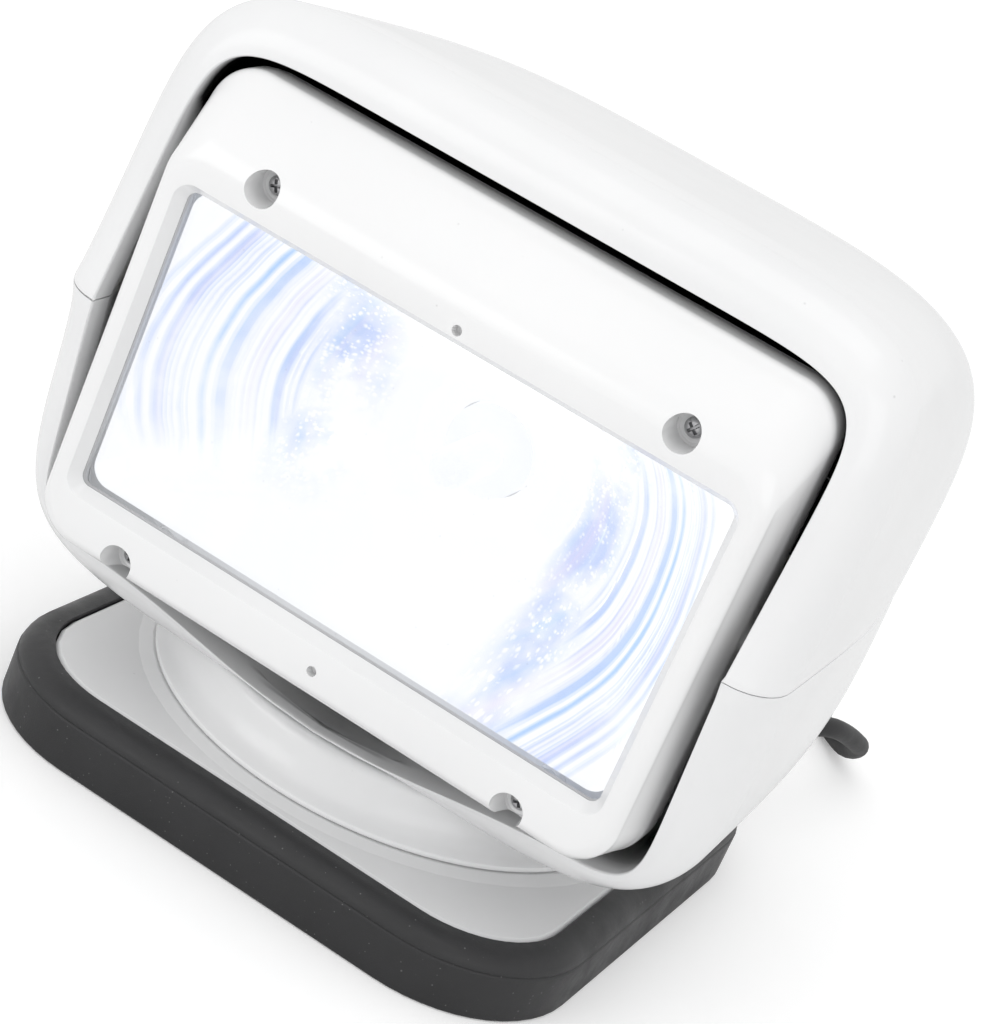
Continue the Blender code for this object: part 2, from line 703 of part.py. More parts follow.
def motor_solid(name, length, foot_points, seat):
    """A can motor on Z above its gear, with a blind bore for the pinion's shaft and two legs."""
    start = GEAR_THICKNESS + GAP
    profile = [(0.0, start + length), (MOTOR_RADIUS - MOTOR_EDGE, start + length),
               (MOTOR_RADIUS, start + length - MOTOR_EDGE), (MOTOR_RADIUS, start + MOTOR_EDGE),
               (MOTOR_RADIUS - MOTOR_EDGE, start), (0.0, start)]
    arm_height = start + MOTOR_ARM_HEIGHT
    motor = turned(name, profile, "motor_metal", steps=RIM_STEPS)
    for number, (across, back) in enumerate(foot_points):
        arm = cylinder(f"{name}_arm_{number}", POST_RADIUS, (0, 0, arm_height), (across, back, arm_height),
                       steps=POST_STEPS)
        leg = cylinder(f"{name}_leg_{number}", LEG_RADIUS, (across, back, seat),
                       (across, back, arm_height + LEG_RADIUS), steps=POST_STEPS)
        join(motor, arm, leg)
    bore = cylinder(f"{name}_bore", SHAFT_RADIUS + GAP, (0, 0, start - PAST),
                    (0, 0, GEAR_THICKNESS + SHAFT_REACH + GAP), steps=SMALL_STEPS)
    return cut(motor, bore)


def mouth_point(angle, inset=0.0):
    """Point of the mouth's edge: squarer above the seam, with a dip in the middle of the lip."""
    half_width = MOUTH_HALF_WIDTH - inset
    if math.sin(angle) >= 0:
        across, up = superellipse(angle, half_width, MOUTH_RISE - inset, MOUTH_TOP_POWER)
        return across, up
    across, up = superellipse(angle, half_width, MOUTH_DROP - inset, MOUTH_LIP_POWER)
    if abs(across) < LIP_DIP_REACH:
        share = abs(math.sin(angle)) ** 0.5
        up -= share * LIP_DIP * 0.5 * (1 + math.cos(math.pi * across / LIP_DIP_REACH))
    return across, up


def superellipse(angle, half_width, half_height, power):
    """Point on a rounded oblong: a power of 2 is an ellipse, a high power nearly a rectangle."""
    across = math.copysign(abs(math.cos(angle)) ** (2 / power), math.cos(angle))
    up = math.copysign(abs(math.sin(angle)) ** (2 / power), math.sin(angle))
    return half_width * across, half_height * up


def mouth_depth(up):
    """How far forward the mouth's edge stands at a height over the seam: it falls back both ways."""
    return -MOUTH_FRONT + MOUTH_RAKE * abs(up)


def body_point(angle, share, wall):
    """Point of the housing's skin at a share of the way from the band to the back."""
    half_width = (BODY_HALF_WIDTH - wall) * (1 - share ** PLAN_POWER) ** (1 / PLAN_POWER)
    if math.sin(angle) >= 0:
        closing = (1 - share ** ROOF_CLOSING_POWER) ** (1 / ROOF_CLOSING_POWER)
        height = (BODY_RISE - wall - ROOF_FALL * share) * closing
        return superellipse(angle, half_width, height, ROOF_POWER - ROOF_POWER_FADE * share)
    closing = (1 - share ** BELLY_CLOSING_POWER) ** (1 / BELLY_CLOSING_POWER)
    height = (BODY_DROP - wall - BELLY_RISE * share) * closing
    return superellipse(angle, half_width, height, BELLY_POWER - BELLY_POWER_FADE * share)


def ring_angles():
    return [2 * math.pi * step / (4 * RING_STEPS) for step in range(4 * RING_STEPS)]


def skin_rings(wall, cap_inset):
    """Rings of the housing's skin: mouth edge, rounded band, body and back."""
    rings = []
    for inset in cap_inset:
        ring = []
        for angle in ring_angles():
            across, up = mouth_point(angle, inset)
            ring.append((across, mouth_depth(up), SEAM_HEIGHT + up))
        rings.append(ring)
    for step in range(1, BAND_STEPS + 1):
        turn = math.radians(90.0 * step / BAND_STEPS)
        ring = []
        for angle in ring_angles():
            near = Vector(mouth_point(angle, cap_inset[-1]))
            far = Vector(body_point(angle, 0.0, wall))
            across, up = near.lerp(far, math.sin(turn))
            depth = mouth_depth(near[1]) + BAND_DEPTH * (1 - math.cos(turn))
            ring.append((across, depth, SEAM_HEIGHT + up))
        rings.append(ring)
    last = BODY_STEPS - 0.4
    for step in [*range(1, BODY_STEPS), last]:
        share = math.sin(math.radians(90.0 * step / BODY_STEPS)) ** (2 / PLAN_POWER)
        reach = 1.0 if step == last else share
        ring = []
        for angle in ring_angles():
            across, up = body_point(angle, share, wall)
            start = mouth_depth(mouth_point(angle)[1]) + BAND_DEPTH
            depth = start + (REAR_REACH - wall - start) * reach
            ring.append((across, depth, SEAM_HEIGHT + up))
        rings.append(ring)
    return rings


def make_outer_skin(name, slot=None):
    return loft(name, skin_rings(0.0, (MOUTH_FACE_INSET, MOUTH_EDGE_ROUNDING)), slot)


def make_inner_space():
    """The hollow of the housing: straight through the mouth, then wider behind the lip."""
    rings = []
    for forward in (MOUTH_FRONT, 0.0):
        ring = []
        for angle in ring_angles():
            across, up = mouth_point(angle)
            ring.append((across, mouth_depth(up) + THROAT_START - forward, SEAM_HEIGHT + up))
        rings.append(ring)
    rings += skin_rings(HOUSING_WALL, (0.0,))[BAND_STEPS:]
    rings[2] = [(across, depth - THROAT_SHARE * BAND_DEPTH, up) for across, depth, up in rings[2]]
    return loft("housing_space", rings)


def neck_profile(wall):
    """Foot ring, concave neck and shoulder; with a wall it is the hollow inside them."""
    top = SHOULDER_HEIGHT + NECK_REACH
    if wall:
        top += SHOULDER_FALL
        return [(0.0, top), (SHOULDER_RADIUS - wall, top), (SHOULDER_RADIUS - wall, SHOULDER_HEIGHT - wall),
                (NECK_RADIUS - wall, SHOULDER_HEIGHT - SHOULDER_INNER_FALL), (NECK_RADIUS - wall, FLOOR_TOP),
                (0.0, FLOOR_TOP)]
    profile = [(0.0, top), (SHOULDER_RADIUS, top), (SHOULDER_RADIUS, SHOULDER_HEIGHT),
               (SHOULDER_RADIUS + SHOULDER_EASE[0], SHOULDER_HEIGHT - SHOULDER_EASE[1]),
               (NECK_RADIUS, SHOULDER_HEIGHT - SHOULDER_FALL)]
    flare = FOOT_RADIUS - NECK_RADIUS
    foot_top = FOOT_BASE + FOOT_THICKNESS
    for step in range(4):
        turn = math.radians(90.0 * step / 3)
        profile.append((NECK_RADIUS + flare * (1 - math.cos(turn)),
                        foot_top + flare * (1 - math.sin(turn))))
    profile += [(FOOT_RADIUS, FOOT_BASE), (0.0, FOOT_BASE)]
    return profile


def bearing_bosses():
    """Round bosses inside both cheeks, split by the seam, that hold the bushes."""
    reach = BODY_HALF_WIDTH - HOUSING_WALL / 2
    made = []
    for side, name in ((-1, "left"), (1, "right")):
        made.append(cylinder(f"bearing_boss_{name}", BEARING_RADIUS, (side * BUSH_INNER_X, *TILT_AXIS[1:]),
                             (side * reach, *TILT_AXIS[1:]), steps=RIM_STEPS))
    return made


def bearing_bores():
    made = []
    for side, name in ((-1, "left"), (1, "right")):
        start = (side * (BUSH_INNER_X - PAST), *TILT_AXIS[1:])
        end = (side * (BUSH_OUTER_X + GAP), *TILT_AXIS[1:])
        made.append(cylinder(f"bearing_bore_{name}", BUSH_RADIUS + GAP, start, end, steps=RIM_STEPS))
    return made


def half_space(name, above):
    """The part of space over or under the seam that a half of the housing gives up."""
    if above:
        return box(name, (-FAR, -FAR, SEAM_HEIGHT - GAP / 2), (FAR, FAR, FAR))
    return box(name, (-FAR, -FAR, -FAR), (FAR, FAR, SEAM_HEIGHT + GAP / 2))


def floor_posts():
    """Posts on the housing's floor under the driver and the board."""
    posts = []
    for name, centre, size, seat in (("driver", DRIVER_CENTRE, DRIVER_SIZE, DRIVER_SEAT),
                                     ("board", BOARD_CENTRE, BOARD_SIZE, BOARD_SEAT)):
        for number, (across, back) in enumerate(((-1, -1), (1, -1), (1, 1), (-1, 1))):
            place = (centre[0] + across * (size[0] / 2 - POST_INSET),
                     centre[1] + back * (size[1] / 2 - POST_INSET))
            posts.append(cylinder(f"{name}_post_{number}", POST_RADIUS, (*place, FLOOR_TOP - OVERLAP),
                                  (*place, seat - GAP), steps=POST_STEPS))
    return posts


def make_deck():
    """Floor of the bowl over the gears, open round the spindle and the pan motor."""
    deck = cylinder("deck", NECK_RADIUS, (0, 0, DECK_TOP - DECK_THICKNESS), (0, 0, DECK_TOP), steps=RIM_STEPS)
    gear_hole = cylinder("deck_gear_hole", DECK_HOLE_RADIUS, (0, 0, 0), (0, 0, FAR), steps=RIM_STEPS)
    motor_hole = box("deck_motor_hole", (-DECK_HOLE_HALF_WIDTH, 0.0, 0.0),
                     (DECK_HOLE_HALF_WIDTH, GEAR_DISTANCE + MOTOR_RADIUS + DECK_MOTOR_ROOM, FAR))
    return cut(deck, join(gear_hole, motor_hole))


def make_lower_shell():
    """Foot, neck, bowl and cheeks in one moulding."""
    shell = make_outer_skin("lower_shell", "white_plastic")
    join(shell, turned("neck", neck_profile(0.0), steps=NECK_STEPS))
    space = make_inner_space()
    space.name = "lower_space"
    join(space, turned("neck_space", neck_profile(HOUSING_WALL), steps=NECK_STEPS))
    cut(space, *bearing_bosses(), make_deck(), *floor_posts())
    for number, (back, up) in enumerate(TILT_MOTOR_FEET):
        place = (TILT_PINION_Y + back, TILT_PINION_Z + up)
        cut(space, cylinder(f"cheek_post_{number}", CHEEK_POST_RADIUS, (CHEEK_POST_X, *place),
                            (BODY_HALF_WIDTH - HOUSING_WALL / 3, *place), steps=POST_STEPS))
    hub_hole = cylinder("hub_hole", SPINDLE_HOLE, (0, 0, 0), (0, 0, FAR), steps=RIM_STEPS)
    return cut(shell, space, *bearing_bores(), hub_hole, half_space("over_seam", True))


def make_upper_hood():
    """Domed hood with the rounded band round the mouth."""
    hood = make_outer_skin("upper_hood", "white_plastic")
    space = make_inner_space()
    space.name = "upper_space"
    cut(space, *bearing_bosses())
    return cut(hood, space, *bearing_bores(), half_space("under_seam", False))


def make_bushes():
    made = []
    for side, name in ((-1, "left"), (1, "right")):
        bush = cylinder(f"bush_{name}", BUSH_RADIUS, (side * BUSH_INNER_X, *TILT_AXIS[1:]),
                        (side * BUSH_OUTER_X, *TILT_AXIS[1:]), "gear_plastic", steps=DISC_STEPS)
        bore = cylinder(f"bush_bore_{name}", BUSH_BORE, (side * (BUSH_INNER_X - PAST), *TILT_AXIS[1:]),
                        (side * (BUSH_OUTER_X + PAST), *TILT_AXIS[1:]), steps=DISC_STEPS)
        made.append(cut(bush, bore))
    return made


def make_driver():
    low = [DRIVER_CENTRE[axis] - DRIVER_SIZE[axis] / 2 for axis in (0, 1)]
    high = [DRIVER_CENTRE[axis] + DRIVER_SIZE[axis] / 2 for axis in (0, 1)]
    return box("lamp_driver", (*low, DRIVER_SEAT), (*high, DRIVER_SEAT + DRIVER_SIZE[2]), "driver_case",
               rounding=DRIVER_ROUNDING)


def make_board():
    low = [BOARD_CENTRE[axis] - BOARD_SIZE[axis] / 2 for axis in (0, 1)]
    high = [BOARD_CENTRE[axis] + BOARD_SIZE[axis] / 2 for axis in (0, 1)]
    top = BOARD_SEAT + BOARD_THICKNESS
    board = box("control_board", (*low, BOARD_SEAT), (*high, top), "board")
    corner = (low[0] + RELAY_INSET, low[1] + RELAY_INSET)
    relay = box("relay", (*corner, top - OVERLAP),
                (corner[0] + RELAY_SIZE[0], corner[1] + RELAY_SIZE[1], top + RELAY_SIZE[2]))
    corner = (high[0] - BOARD_PLUG_INSET[0], low[1] + BOARD_PLUG_INSET[1])
    plug = box("board_plug", (corner[0] - BOARD_PLUG_SIZE[0], corner[1], top - OVERLAP),
               (corner[0], corner[1] + BOARD_PLUG_SIZE[1], top + BOARD_PLUG_SIZE[2]))
    return join(board, relay, plug)


def head_ring(half_width, low, high, depth):
    return upright_ring(rounded_rectangle(half_width, low, high, HEAD_CORNER), -depth)


def make_front_frame():
    """Border, sloping brow, window, screw pockets and small holes."""
    half_width = HEAD_HALF_WIDTH - FACE_INSET_SIDE
    low = HEAD_BOTTOM + FACE_INSET_CHIN
    high = FACE_TOP - FACE_INSET_BROW
    rings = []
    for step in range(FACE_STEPS):
        turn = math.radians(90.0 * step / FACE_STEPS)
        share = math.sin(turn)
        rings.append(head_ring(half_width + FACE_ROUNDING * share, low - CHIN_ROUNDING * share,
                               high + FACE_ROUNDING * share, HEAD_FACE - FACE_ROUNDING * (1 - math.cos(turn))))
    rings.append(head_ring(HEAD_HALF_WIDTH - SIDE_EDGE, HEAD_BOTTOM + SIDE_EDGE, HEAD_TOP - BROW_EDGE,
                           BROW_START))
    rings.append(head_ring(HEAD_HALF_WIDTH, HEAD_BOTTOM, HEAD_TOP, BROW_START - BROW_BEND))
    rings.append(head_ring(HEAD_HALF_WIDTH, HEAD_BOTTOM, HEAD_TOP, HEAD_BACK))
    frame = loft("front_frame", rings, "white_plastic")

    wall = HEAD_WALL
    inner_top = HEAD_TOP - BROW_EDGE - wall
    inner = [head_ring(half_width + FACE_ROUNDING - wall, low - CHIN_ROUNDING + wall,
                       FACE_TOP - BROW_EDGE - wall, HEAD_FACE - FACE_THICKNESS),
             head_ring(HEAD_HALF_WIDTH - wall, HEAD_BOTTOM + wall, inner_top, BROW_START - BROW_BEND),
             head_ring(HEAD_HALF_WIDTH - wall, HEAD_BOTTOM + wall, inner_top, HEAD_BACK - PAST)]
    space = loft("frame_space", inner)
    for number, (across, up) in enumerate(POCKETS):
        cut(space, cylinder(f"pocket_boss_{number}", POCKET_RADIUS + POCKET_WALL,
                            (across, -HEAD_FACE - OVERLAP, up), (across, -HEAD_BACK, up), steps=DISC_STEPS))
    cut(frame, space, make_window())
    for number, (across, up) in enumerate(POCKETS):
        pocket = cylinder(f"pocket_{number}", POCKET_RADIUS, (across, -HEAD_FACE - PAST, up),
                          (across, -POCKET_FLOOR, up), steps=DISC_STEPS)
        hole = cylinder(f"pocket_hole_{number}", SCREW_SHANK_RADIUS + GAP, (across, -HEAD_FACE, up),
                        (across, -HEAD_BACK + PAST, up), steps=POST_STEPS)
        cut(frame, pocket, hole)
    for name, up in (("upper", WINDOW_TOP + SMALL_HOLE_MARGIN),
                     ("lower", WINDOW_BOTTOM - 2 * SMALL_HOLE_MARGIN)):
        cut(frame, cylinder(f"small_hole_{name}", SMALL_HOLE_RADIUS, (0, -HEAD_FACE - PAST, up),
                            (0, -HEAD_FACE + 2 * FACE_THICKNESS, up), steps=POST_STEPS))
    return frame


def window_ring(grow, depth):
    outline = rounded_rectangle(WINDOW_HALF_WIDTH + grow, WINDOW_BOTTOM - grow, WINDOW_TOP + grow,
                                WINDOW_CORNER + grow)
    return upright_ring(outline, -depth)


def make_window():
    """The window's opening, which narrows towards the glass."""
    seat = HEAD_FACE - FACE_THICKNESS
    front = HEAD_FACE + PAST
    return loft("window", [window_ring(WINDOW_SLOPE * (front - seat), front), window_ring(0.0, seat),
                           window_ring(0.0, seat - PAST)])


def window_plate(name, front, back, grow, slot=None):
    return loft(name, [window_ring(grow, front), window_ring(grow, back)], slot)


def make_gasket():
    front = HEAD_FACE - FACE_THICKNESS - GAP
    gasket = window_plate("lens_gasket", front, front - GASKET_THICKNESS, GASKET_WIDTH, "boot_rubber")
    return cut(gasket, window_plate("gasket_opening", front + PAST, front - PAST, 0.0))


def make_lens():
    return window_plate("lens", LENS_FRONT, LENS_BACK, GASKET_WIDTH - LENS_MARGIN, "lens_glass")


def reflector_ring(share, wall):
    """Cross-section from the window's oblong (share 0) to the round throat (share 1)."""
    bowl = (1 - share) ** REFLECTOR_CURVE
    half_width = REFLECTOR_THROAT + (WINDOW_HALF_WIDTH - REFLECTOR_THROAT) * bowl - wall
    half_height = REFLECTOR_THROAT + (WINDOW_HALF_HEIGHT - REFLECTOR_THROAT) * bowl - wall
    corner = REFLECTOR_CORNER + (REFLECTOR_THROAT - REFLECTOR_CORNER) * share ** 0.5
    corner += REFLECTOR_CORNER_GROWTH * share
    depth = REFLECTOR_FRONT + (REFLECTOR_BACK - REFLECTOR_FRONT) * share
    outline = rounded_rectangle(half_width, WINDOW_HEIGHT - half_height, WINDOW_HEIGHT + half_height,
                                min(corner, half_height - OVERLAP / 5))
    return upright_ring(outline, -depth)


def make_reflector():
    outer = loft("reflector", [reflector_ring(share, -REFLECTOR_WALL) for share in REFLECTOR_SHARES], "mirror")
    inner = [reflector_ring(share, 0.0) for share in REFLECTOR_SHARES]
    front = [(across, depth - PAST, up) for across, depth, up in inner[0]]
    back = [(across, depth + PAST, up) for across, depth, up in inner[-1]]
    return cut(outer, loft("reflector_space", [front, *inner, back]))


def case_ring(half_width, low, high, depth, corner):
    return upright_ring(rounded_rectangle(half_width, low, high, corner), -depth)


def make_rear_case():
    """Bucket behind the front frame, with screw bosses, ears for the trunnions and a round opening."""
    start = HEAD_BACK - GAP
    width = CASE_HALF_WIDTH
    low, high = HEAD_BOTTOM + CASE_INSET, HEAD_TOP - CASE_INSET
    shoulder = start - CASE_SHOULDER_DEPTH
    stations = [(width, low, high, start, HEAD_CORNER), (width, low, high, start - CASE_FLANGE, HEAD_CORNER),
                (width - CASE_SHOULDER_SIDE, low + CASE_SHOULDER_BOTTOM, high - CASE_SHOULDER_TOP, shoulder,
                 CASE_SHOULDER_CORNER)]
    for width_share, height_share, depth_share, corner in CASE_SECTIONS:
        half_height = height_share * WINDOW_HALF_HEIGHT
        stations.append((width_share * width, WINDOW_HEIGHT - half_height, WINDOW_HEIGHT + half_height,
                         shoulder - depth_share * (shoulder + CASE_BACK), corner))
    case = loft("rear_case", [case_ring(*station) for station in stations], "white_plastic")
    wall = CASE_WALL
    hollow = [case_ring(width - wall, low + wall, high - wall, start + PAST, HEAD_CORNER - wall)]
    for half_width, bottom, top, depth, corner in stations[1:]:
        hollow.append(case_ring(half_width - wall, bottom + wall, top - wall, depth + CASE_HOLLOW_LAG,
                                corner - wall))
    space = loft("case_space", hollow)
    for number, (across, up) in enumerate(POCKETS):
        cut(space, cylinder(f"case_boss_{number}", CASE_BOSS_RADIUS, (across, -start, up),
                            (across, -start + CASE_BOSS_LENGTH, up), steps=POST_STEPS))
    ears = []
    for side, name in ((-1, "left"), (1, "right")):
        inner, outer = side * EAR_INNER_X, side * EAR_OUTER_X
        plate = box(f"ear_plate_{name}", (min(inner, outer), -start + 2 * OVERLAP, SEAM_HEIGHT - EAR_RADIUS),
                    (max(inner, outer), -TILT_FORWARD, SEAM_HEIGHT + EAR_RADIUS))
        disc = cylinder(f"ear_disc_{name}", EAR_RADIUS, (inner, *TILT_AXIS[1:]), (outer, *TILT_AXIS[1:]),
                        steps=DISC_STEPS)
        ears += [plate, disc]
        cut(space, plate)
    join(case, *ears)
    cut(case, space)
    for side, name in ((-1, "left"), (1, "right")):
        bore = cylinder(f"ear_bore_{name}", TRUNNION_RADIUS + GAP,
                        (side * (EAR_INNER_X - OVERLAP), *TILT_AXIS[1:]),
                        (side * (EAR_OUTER_X + PAST), *TILT_AXIS[1:]), steps=SMALL_STEPS)
        seat = cylinder(f"ear_seat_{name}", TRUNNION_HEAD_RADIUS + GAP,
                        (side * (EAR_INNER_X - TRUNNION_SEAT_REACH), *TILT_AXIS[1:]),
                        (side * EAR_INNER_X, *TILT_AXIS[1:]), steps=SMALL_STEPS)
        cut(case, bore, seat)
    for number, (across, up) in enumerate(POCKETS):
        cut(case, cylinder(f"case_hole_{number}", SCREW_SHANK_RADIUS + GAP, (across, -start - PAST, up),
                           (across, -start + CASE_HOLE_LENGTH, up), steps=POST_STEPS))
    opening = cylinder("case_opening", HOLDER_RADIUS + GAP, (0, -HOLDER_FRONT, WINDOW_HEIGHT),
                       (0, CASE_BACK + PAST, WINDOW_HEIGHT), steps=DISC_STEPS)
    return cut(case, opening)


def make_bulb():
    """Capsule along the beam's axis, its stem in the holder."""
    shoulder = HOLDER_FRONT + GAP
    tip = shoulder + BULB_LENGTH
    profile = [(0.0, tip)]
    for step in range(1, 5):
        turn = math.radians(90.0 * step / 4)
        profile.append((BULB_RADIUS * math.sin(turn), tip - BULB_RADIUS * (1 - math.cos(turn))))
    profile += [(BULB_RADIUS, shoulder + BULB_RADIUS - BULB_STEM_RADIUS), (BULB_STEM_RADIUS, shoulder),
                (BULB_STEM_RADIUS, HOLDER_FRONT - BULB_STEM_LENGTH), (0.0, HOLDER_FRONT - BULB_STEM_LENGTH)]
    bulb = turned("bulb", profile, "lens_glass", steps=SMALL_STEPS)
    bulb.rotation_euler = (math.radians(90.0), 0.0, 0.0)
    bulb.location = (0.0, 0.0, WINDOW_HEIGHT)
    return bulb


def make_bulb_holder():
    holder = cylinder("bulb_holder", HOLDER_RADIUS, (0, -HOLDER_FRONT, WINDOW_HEIGHT),
                      (0, CASE_BACK, WINDOW_HEIGHT), "driver_case", steps=DISC_STEPS)
    socket = cylinder("bulb_socket", BULB_STEM_RADIUS + GAP, (0, -HOLDER_FRONT - PAST, WINDOW_HEIGHT),
                      (0, -HOLDER_FRONT + BULB_STEM_LENGTH + GAP, WINDOW_HEIGHT), steps=SMALL_STEPS)
    return cut(holder, socket)


def make_back_cap():
    start = CASE_BACK + GAP
    cap = cylinder("back_cap", CAP_RADIUS, (0, start, WINDOW_HEIGHT), (0, start + CAP_DEPTH, WINDOW_HEIGHT),
                   "boot_rubber", steps=RIM_STEPS, end_radius=CAP_RADIUS - CAP_TAPER)
    return bevel(cap, CAP_ROUNDING)


def make_trunnions():
    """Headed pins through the ears, with a shoulder against each bush."""
    made = []
    for side, name in ((-1, "left"), (1, "right")):
        def length(label, radius, start, end, slot=None):
            return cylinder(label, radius, (side * start, *TILT_AXIS[1:]), (side * end, *TILT_AXIS[1:]), slot,
                            steps=SMALL_STEPS)
        head_start = EAR_INNER_X - TRUNNION_HEAD_THICKNESS
        pin = length(f"trunnion_{name}", TRUNNION_RADIUS, head_start + OVERLAP, BUSH_OUTER_X - OVERLAP, "steel")
        head = length(f"trunnion_head_{name}", TRUNNION_HEAD_RADIUS, head_start, EAR_INNER_X - GAP)
        shoulder_start = GEAR_OUTER_X + GAP if side > 0 else EAR_OUTER_X + GAP
        shoulder = length(f"trunnion_shoulder_{name}", TRUNNION_SHOULDER_RADIUS, shoulder_start, BUSH_INNER_X - GAP)
        made.append(join(pin, head, shoulder))
    return made


def make_face_screws():
    made = []
    for number, (across, up) in enumerate(POCKETS):
        seat = POCKET_FLOOR + GAP
        screw = cylinder(f"face_screw_{number + 1}", SCREW_HEAD_RADIUS, (across, -seat, up),
                         (across, -seat - SCREW_HEAD_HEIGHT, up), "steel", steps=SMALL_STEPS)
        shank = cylinder(f"screw_shank_{number}", SCREW_SHANK_RADIUS, (across, -seat - OVERLAP, up),
                         (across, -seat + SCREW_LENGTH, up), steps=POST_STEPS)
        top = -seat - SCREW_HEAD_HEIGHT
        slot_long = box(f"slot_long_{number}", (across - SLOT_REACH, top - SLOT_DEPTH, up - SLOT_HALF_WIDTH),
                        (across + SLOT_REACH, top + SLOT_DEPTH, up + SLOT_HALF_WIDTH))
        slot_high = box(f"slot_high_{number}", (across - SLOT_HALF_WIDTH, top - SLOT_DEPTH, up - SLOT_REACH),
                        (across + SLOT_HALF_WIDTH, top + SLOT_DEPTH, up + SLOT_REACH))
        join(screw, shank)
        made.append(cut(screw, slot_long, slot_high))
    return made


def smooth_route(knots, spacing):
    """Points at even spacing on a smooth curve through the route's own points."""
    knots = [Vector(knot) for knot in knots]
    ends = [2 * knots[0] - knots[1], *knots, 2 * knots[-1] - knots[-2]]
    fine = []
    for before, start, end, after in zip(ends, ends[1:], ends[2:], ends[3:]):
        for step in range(ROUTE_FINENESS):
            t = step / ROUTE_FINENESS
            fine.append(0.5 * (2 * start + (end - before) * t + (2 * before - 5 * start + 4 * end - after) * t ** 2
                               + (3 * start - before - 3 * end + after) * t ** 3))
    fine.append(knots[-1])
    lengths = [0.0]
    for near, far in zip(fine, fine[1:]):
        lengths.append(lengths[-1] + (far - near).length)
    count = max(2, round(lengths[-1] / spacing))
    points, index = [], 0
    for step in range(count + 1):
        target = lengths[-1] * step / count
        while index < len(lengths) - 2 and lengths[index + 1] < target:
            index += 1
        share = (target - lengths[index]) / (lengths[index + 1] - lengths[index])
        points.append(fine[index].lerp(fine[index + 1], share))
    return points


def tube(name, points, radius, slot):
    curve = bpy.data.curves.new(name, "CURVE")
    curve.dimensions = "3D"
    curve.bevel_depth = radius
    curve.bevel_resolution = 2
    curve.use_fill_caps = True
    spline = curve.splines.new("POLY")
    spline.points.add(len(points) - 1)
    for place, point in zip(spline.points, points):
        place.co = (*point, 1.0)
    return link(bpy.data.objects.new(name, curve), slot)


def lead_start():
    """Where the lead leaves its strain relief, and its direction there."""
    mouth, along = outlet_axis()
    return mouth + along * (RELIEF_LENGTH - RELIEF_ROOT), along


def make_strain_relief():
    """Tapered rubber sleeve with its root in the outlet."""
    mouth, along = outlet_axis()
    tip, _ = lead_start()
    return cylinder("strain_relief", RELIEF_RADIUS, mouth - along * RELIEF_ROOT, tip, "cord_rubber",
                    steps=SMALL_STEPS, end_radius=CORD_RADIUS + RELIEF_TIP_WALL)


def beside_coil(azimuth):
    """A place on the floor where the lead touches the outside of the coil."""
    turn = math.radians(azimuth)
    drop = 1 - CORD_REST / (COIL_HEIGHT / 2)
    bulge = COIL_HALF_WIDTH * (1 - drop ** COIL_POWER) ** (1 / COIL_POWER)
    reach = COIL_MEAN_RADIUS + bulge - COIL_FACET_LOSS + CORD_RADIUS + GAP
    return (COIL_CENTRE[0] + reach * math.cos(turn), COIL_CENTRE[1] + reach * math.sin(turn), CORD_REST)


def make_lead():
    start, along = lead_start()
    start = start + along * GAP
    knots = [start, start + along * LEAD_RUN, *LEAD_KNOTS, beside_coil(LEAD_MEETS_COIL)]
    return tube("lead", smooth_route(knots, ROUTE_SPACING), CORD_RADIUS, "cord_rubber")


def make_coil():
    """Outer form of the coiled rest of the lead: a ring with a rounded section."""
    centre_height = COIL_HEIGHT / 2 + GAP
    profile = []
    for step in range(COIL_SECTION_STEPS):
        turn = 2 * math.pi * step / COIL_SECTION_STEPS
        across, up = superellipse(turn, COIL_HALF_WIDTH, COIL_HEIGHT / 2, COIL_POWER)
        profile.append((COIL_MEAN_RADIUS + across, centre_height + up))
    profile.reverse()
    coil = turned("lead_coil", profile, "cord_rubber", steps=DISC_STEPS)
    coil.location = (*COIL_CENTRE, 0.0)
    return coil


def plug_place():
    """Cable end of the plug on the floor, and the direction in which its nose points."""
    return Vector((*PLUG_PLACE, PLUG_RADIUS + GAP)), Vector((0.0, 1.0, 0.0))


def make_tail():
    end, along = plug_place()
    knots = [beside_coil(TAIL_LEAVES_COIL), *TAIL_KNOTS, end - along * TAIL_RUN, end - along * 2 * GAP]
    return tube("lead_tail", smooth_route(knots, ROUTE_SPACING), CORD_RADIUS, "cord_rubber")


def make_plug():
    """Accessory plug: ribbed body, nose sleeve and centre contact."""
    end, along = plug_place()
    profile = [(0.0, 0.0), PLUG_CABLE_END, PLUG_NECK, (PLUG_RADIUS, PLUG_GRIP_START),
               (PLUG_RADIUS, PLUG_BODY_LENGTH), (0.0, PLUG_BODY_LENGTH)]
    turn = along.to_track_quat("Z", "Y").to_euler()
    body = turned("plug_body", profile[::-1], "cord_rubber", steps=DISC_STEPS)
    nose_start = PLUG_BODY_LENGTH + GAP
    nose_end = nose_start + PLUG_NOSE_LENGTH
    nose = turned("plug_nose", [(0.0, nose_end), (PLUG_NOSE_TIP_RADIUS, nose_end),
                                (PLUG_NOSE_SHOULDER_RADIUS, nose_end - PLUG_NOSE_TAPER),
                                (PLUG_NOSE_RADIUS, nose_start), (0.0, nose_start)], "cord_rubber", steps=DISC_STEPS)
    contact_end = nose_end + PLUG_CONTACT_LENGTH
    contact = turned("plug_contact", [(0.0, contact_end), (PLUG_CONTACT_TIP_RADIUS, contact_end - OVERLAP),
                                      (PLUG_CONTACT_RADIUS, nose_end + GAP), (0.0, nose_end + GAP)], "brass",
                     steps=SMALL_STEPS)
    for piece in (body, nose, contact):
        piece.rotation_euler = turn
        piece.location = end
    return [body, nose, contact]


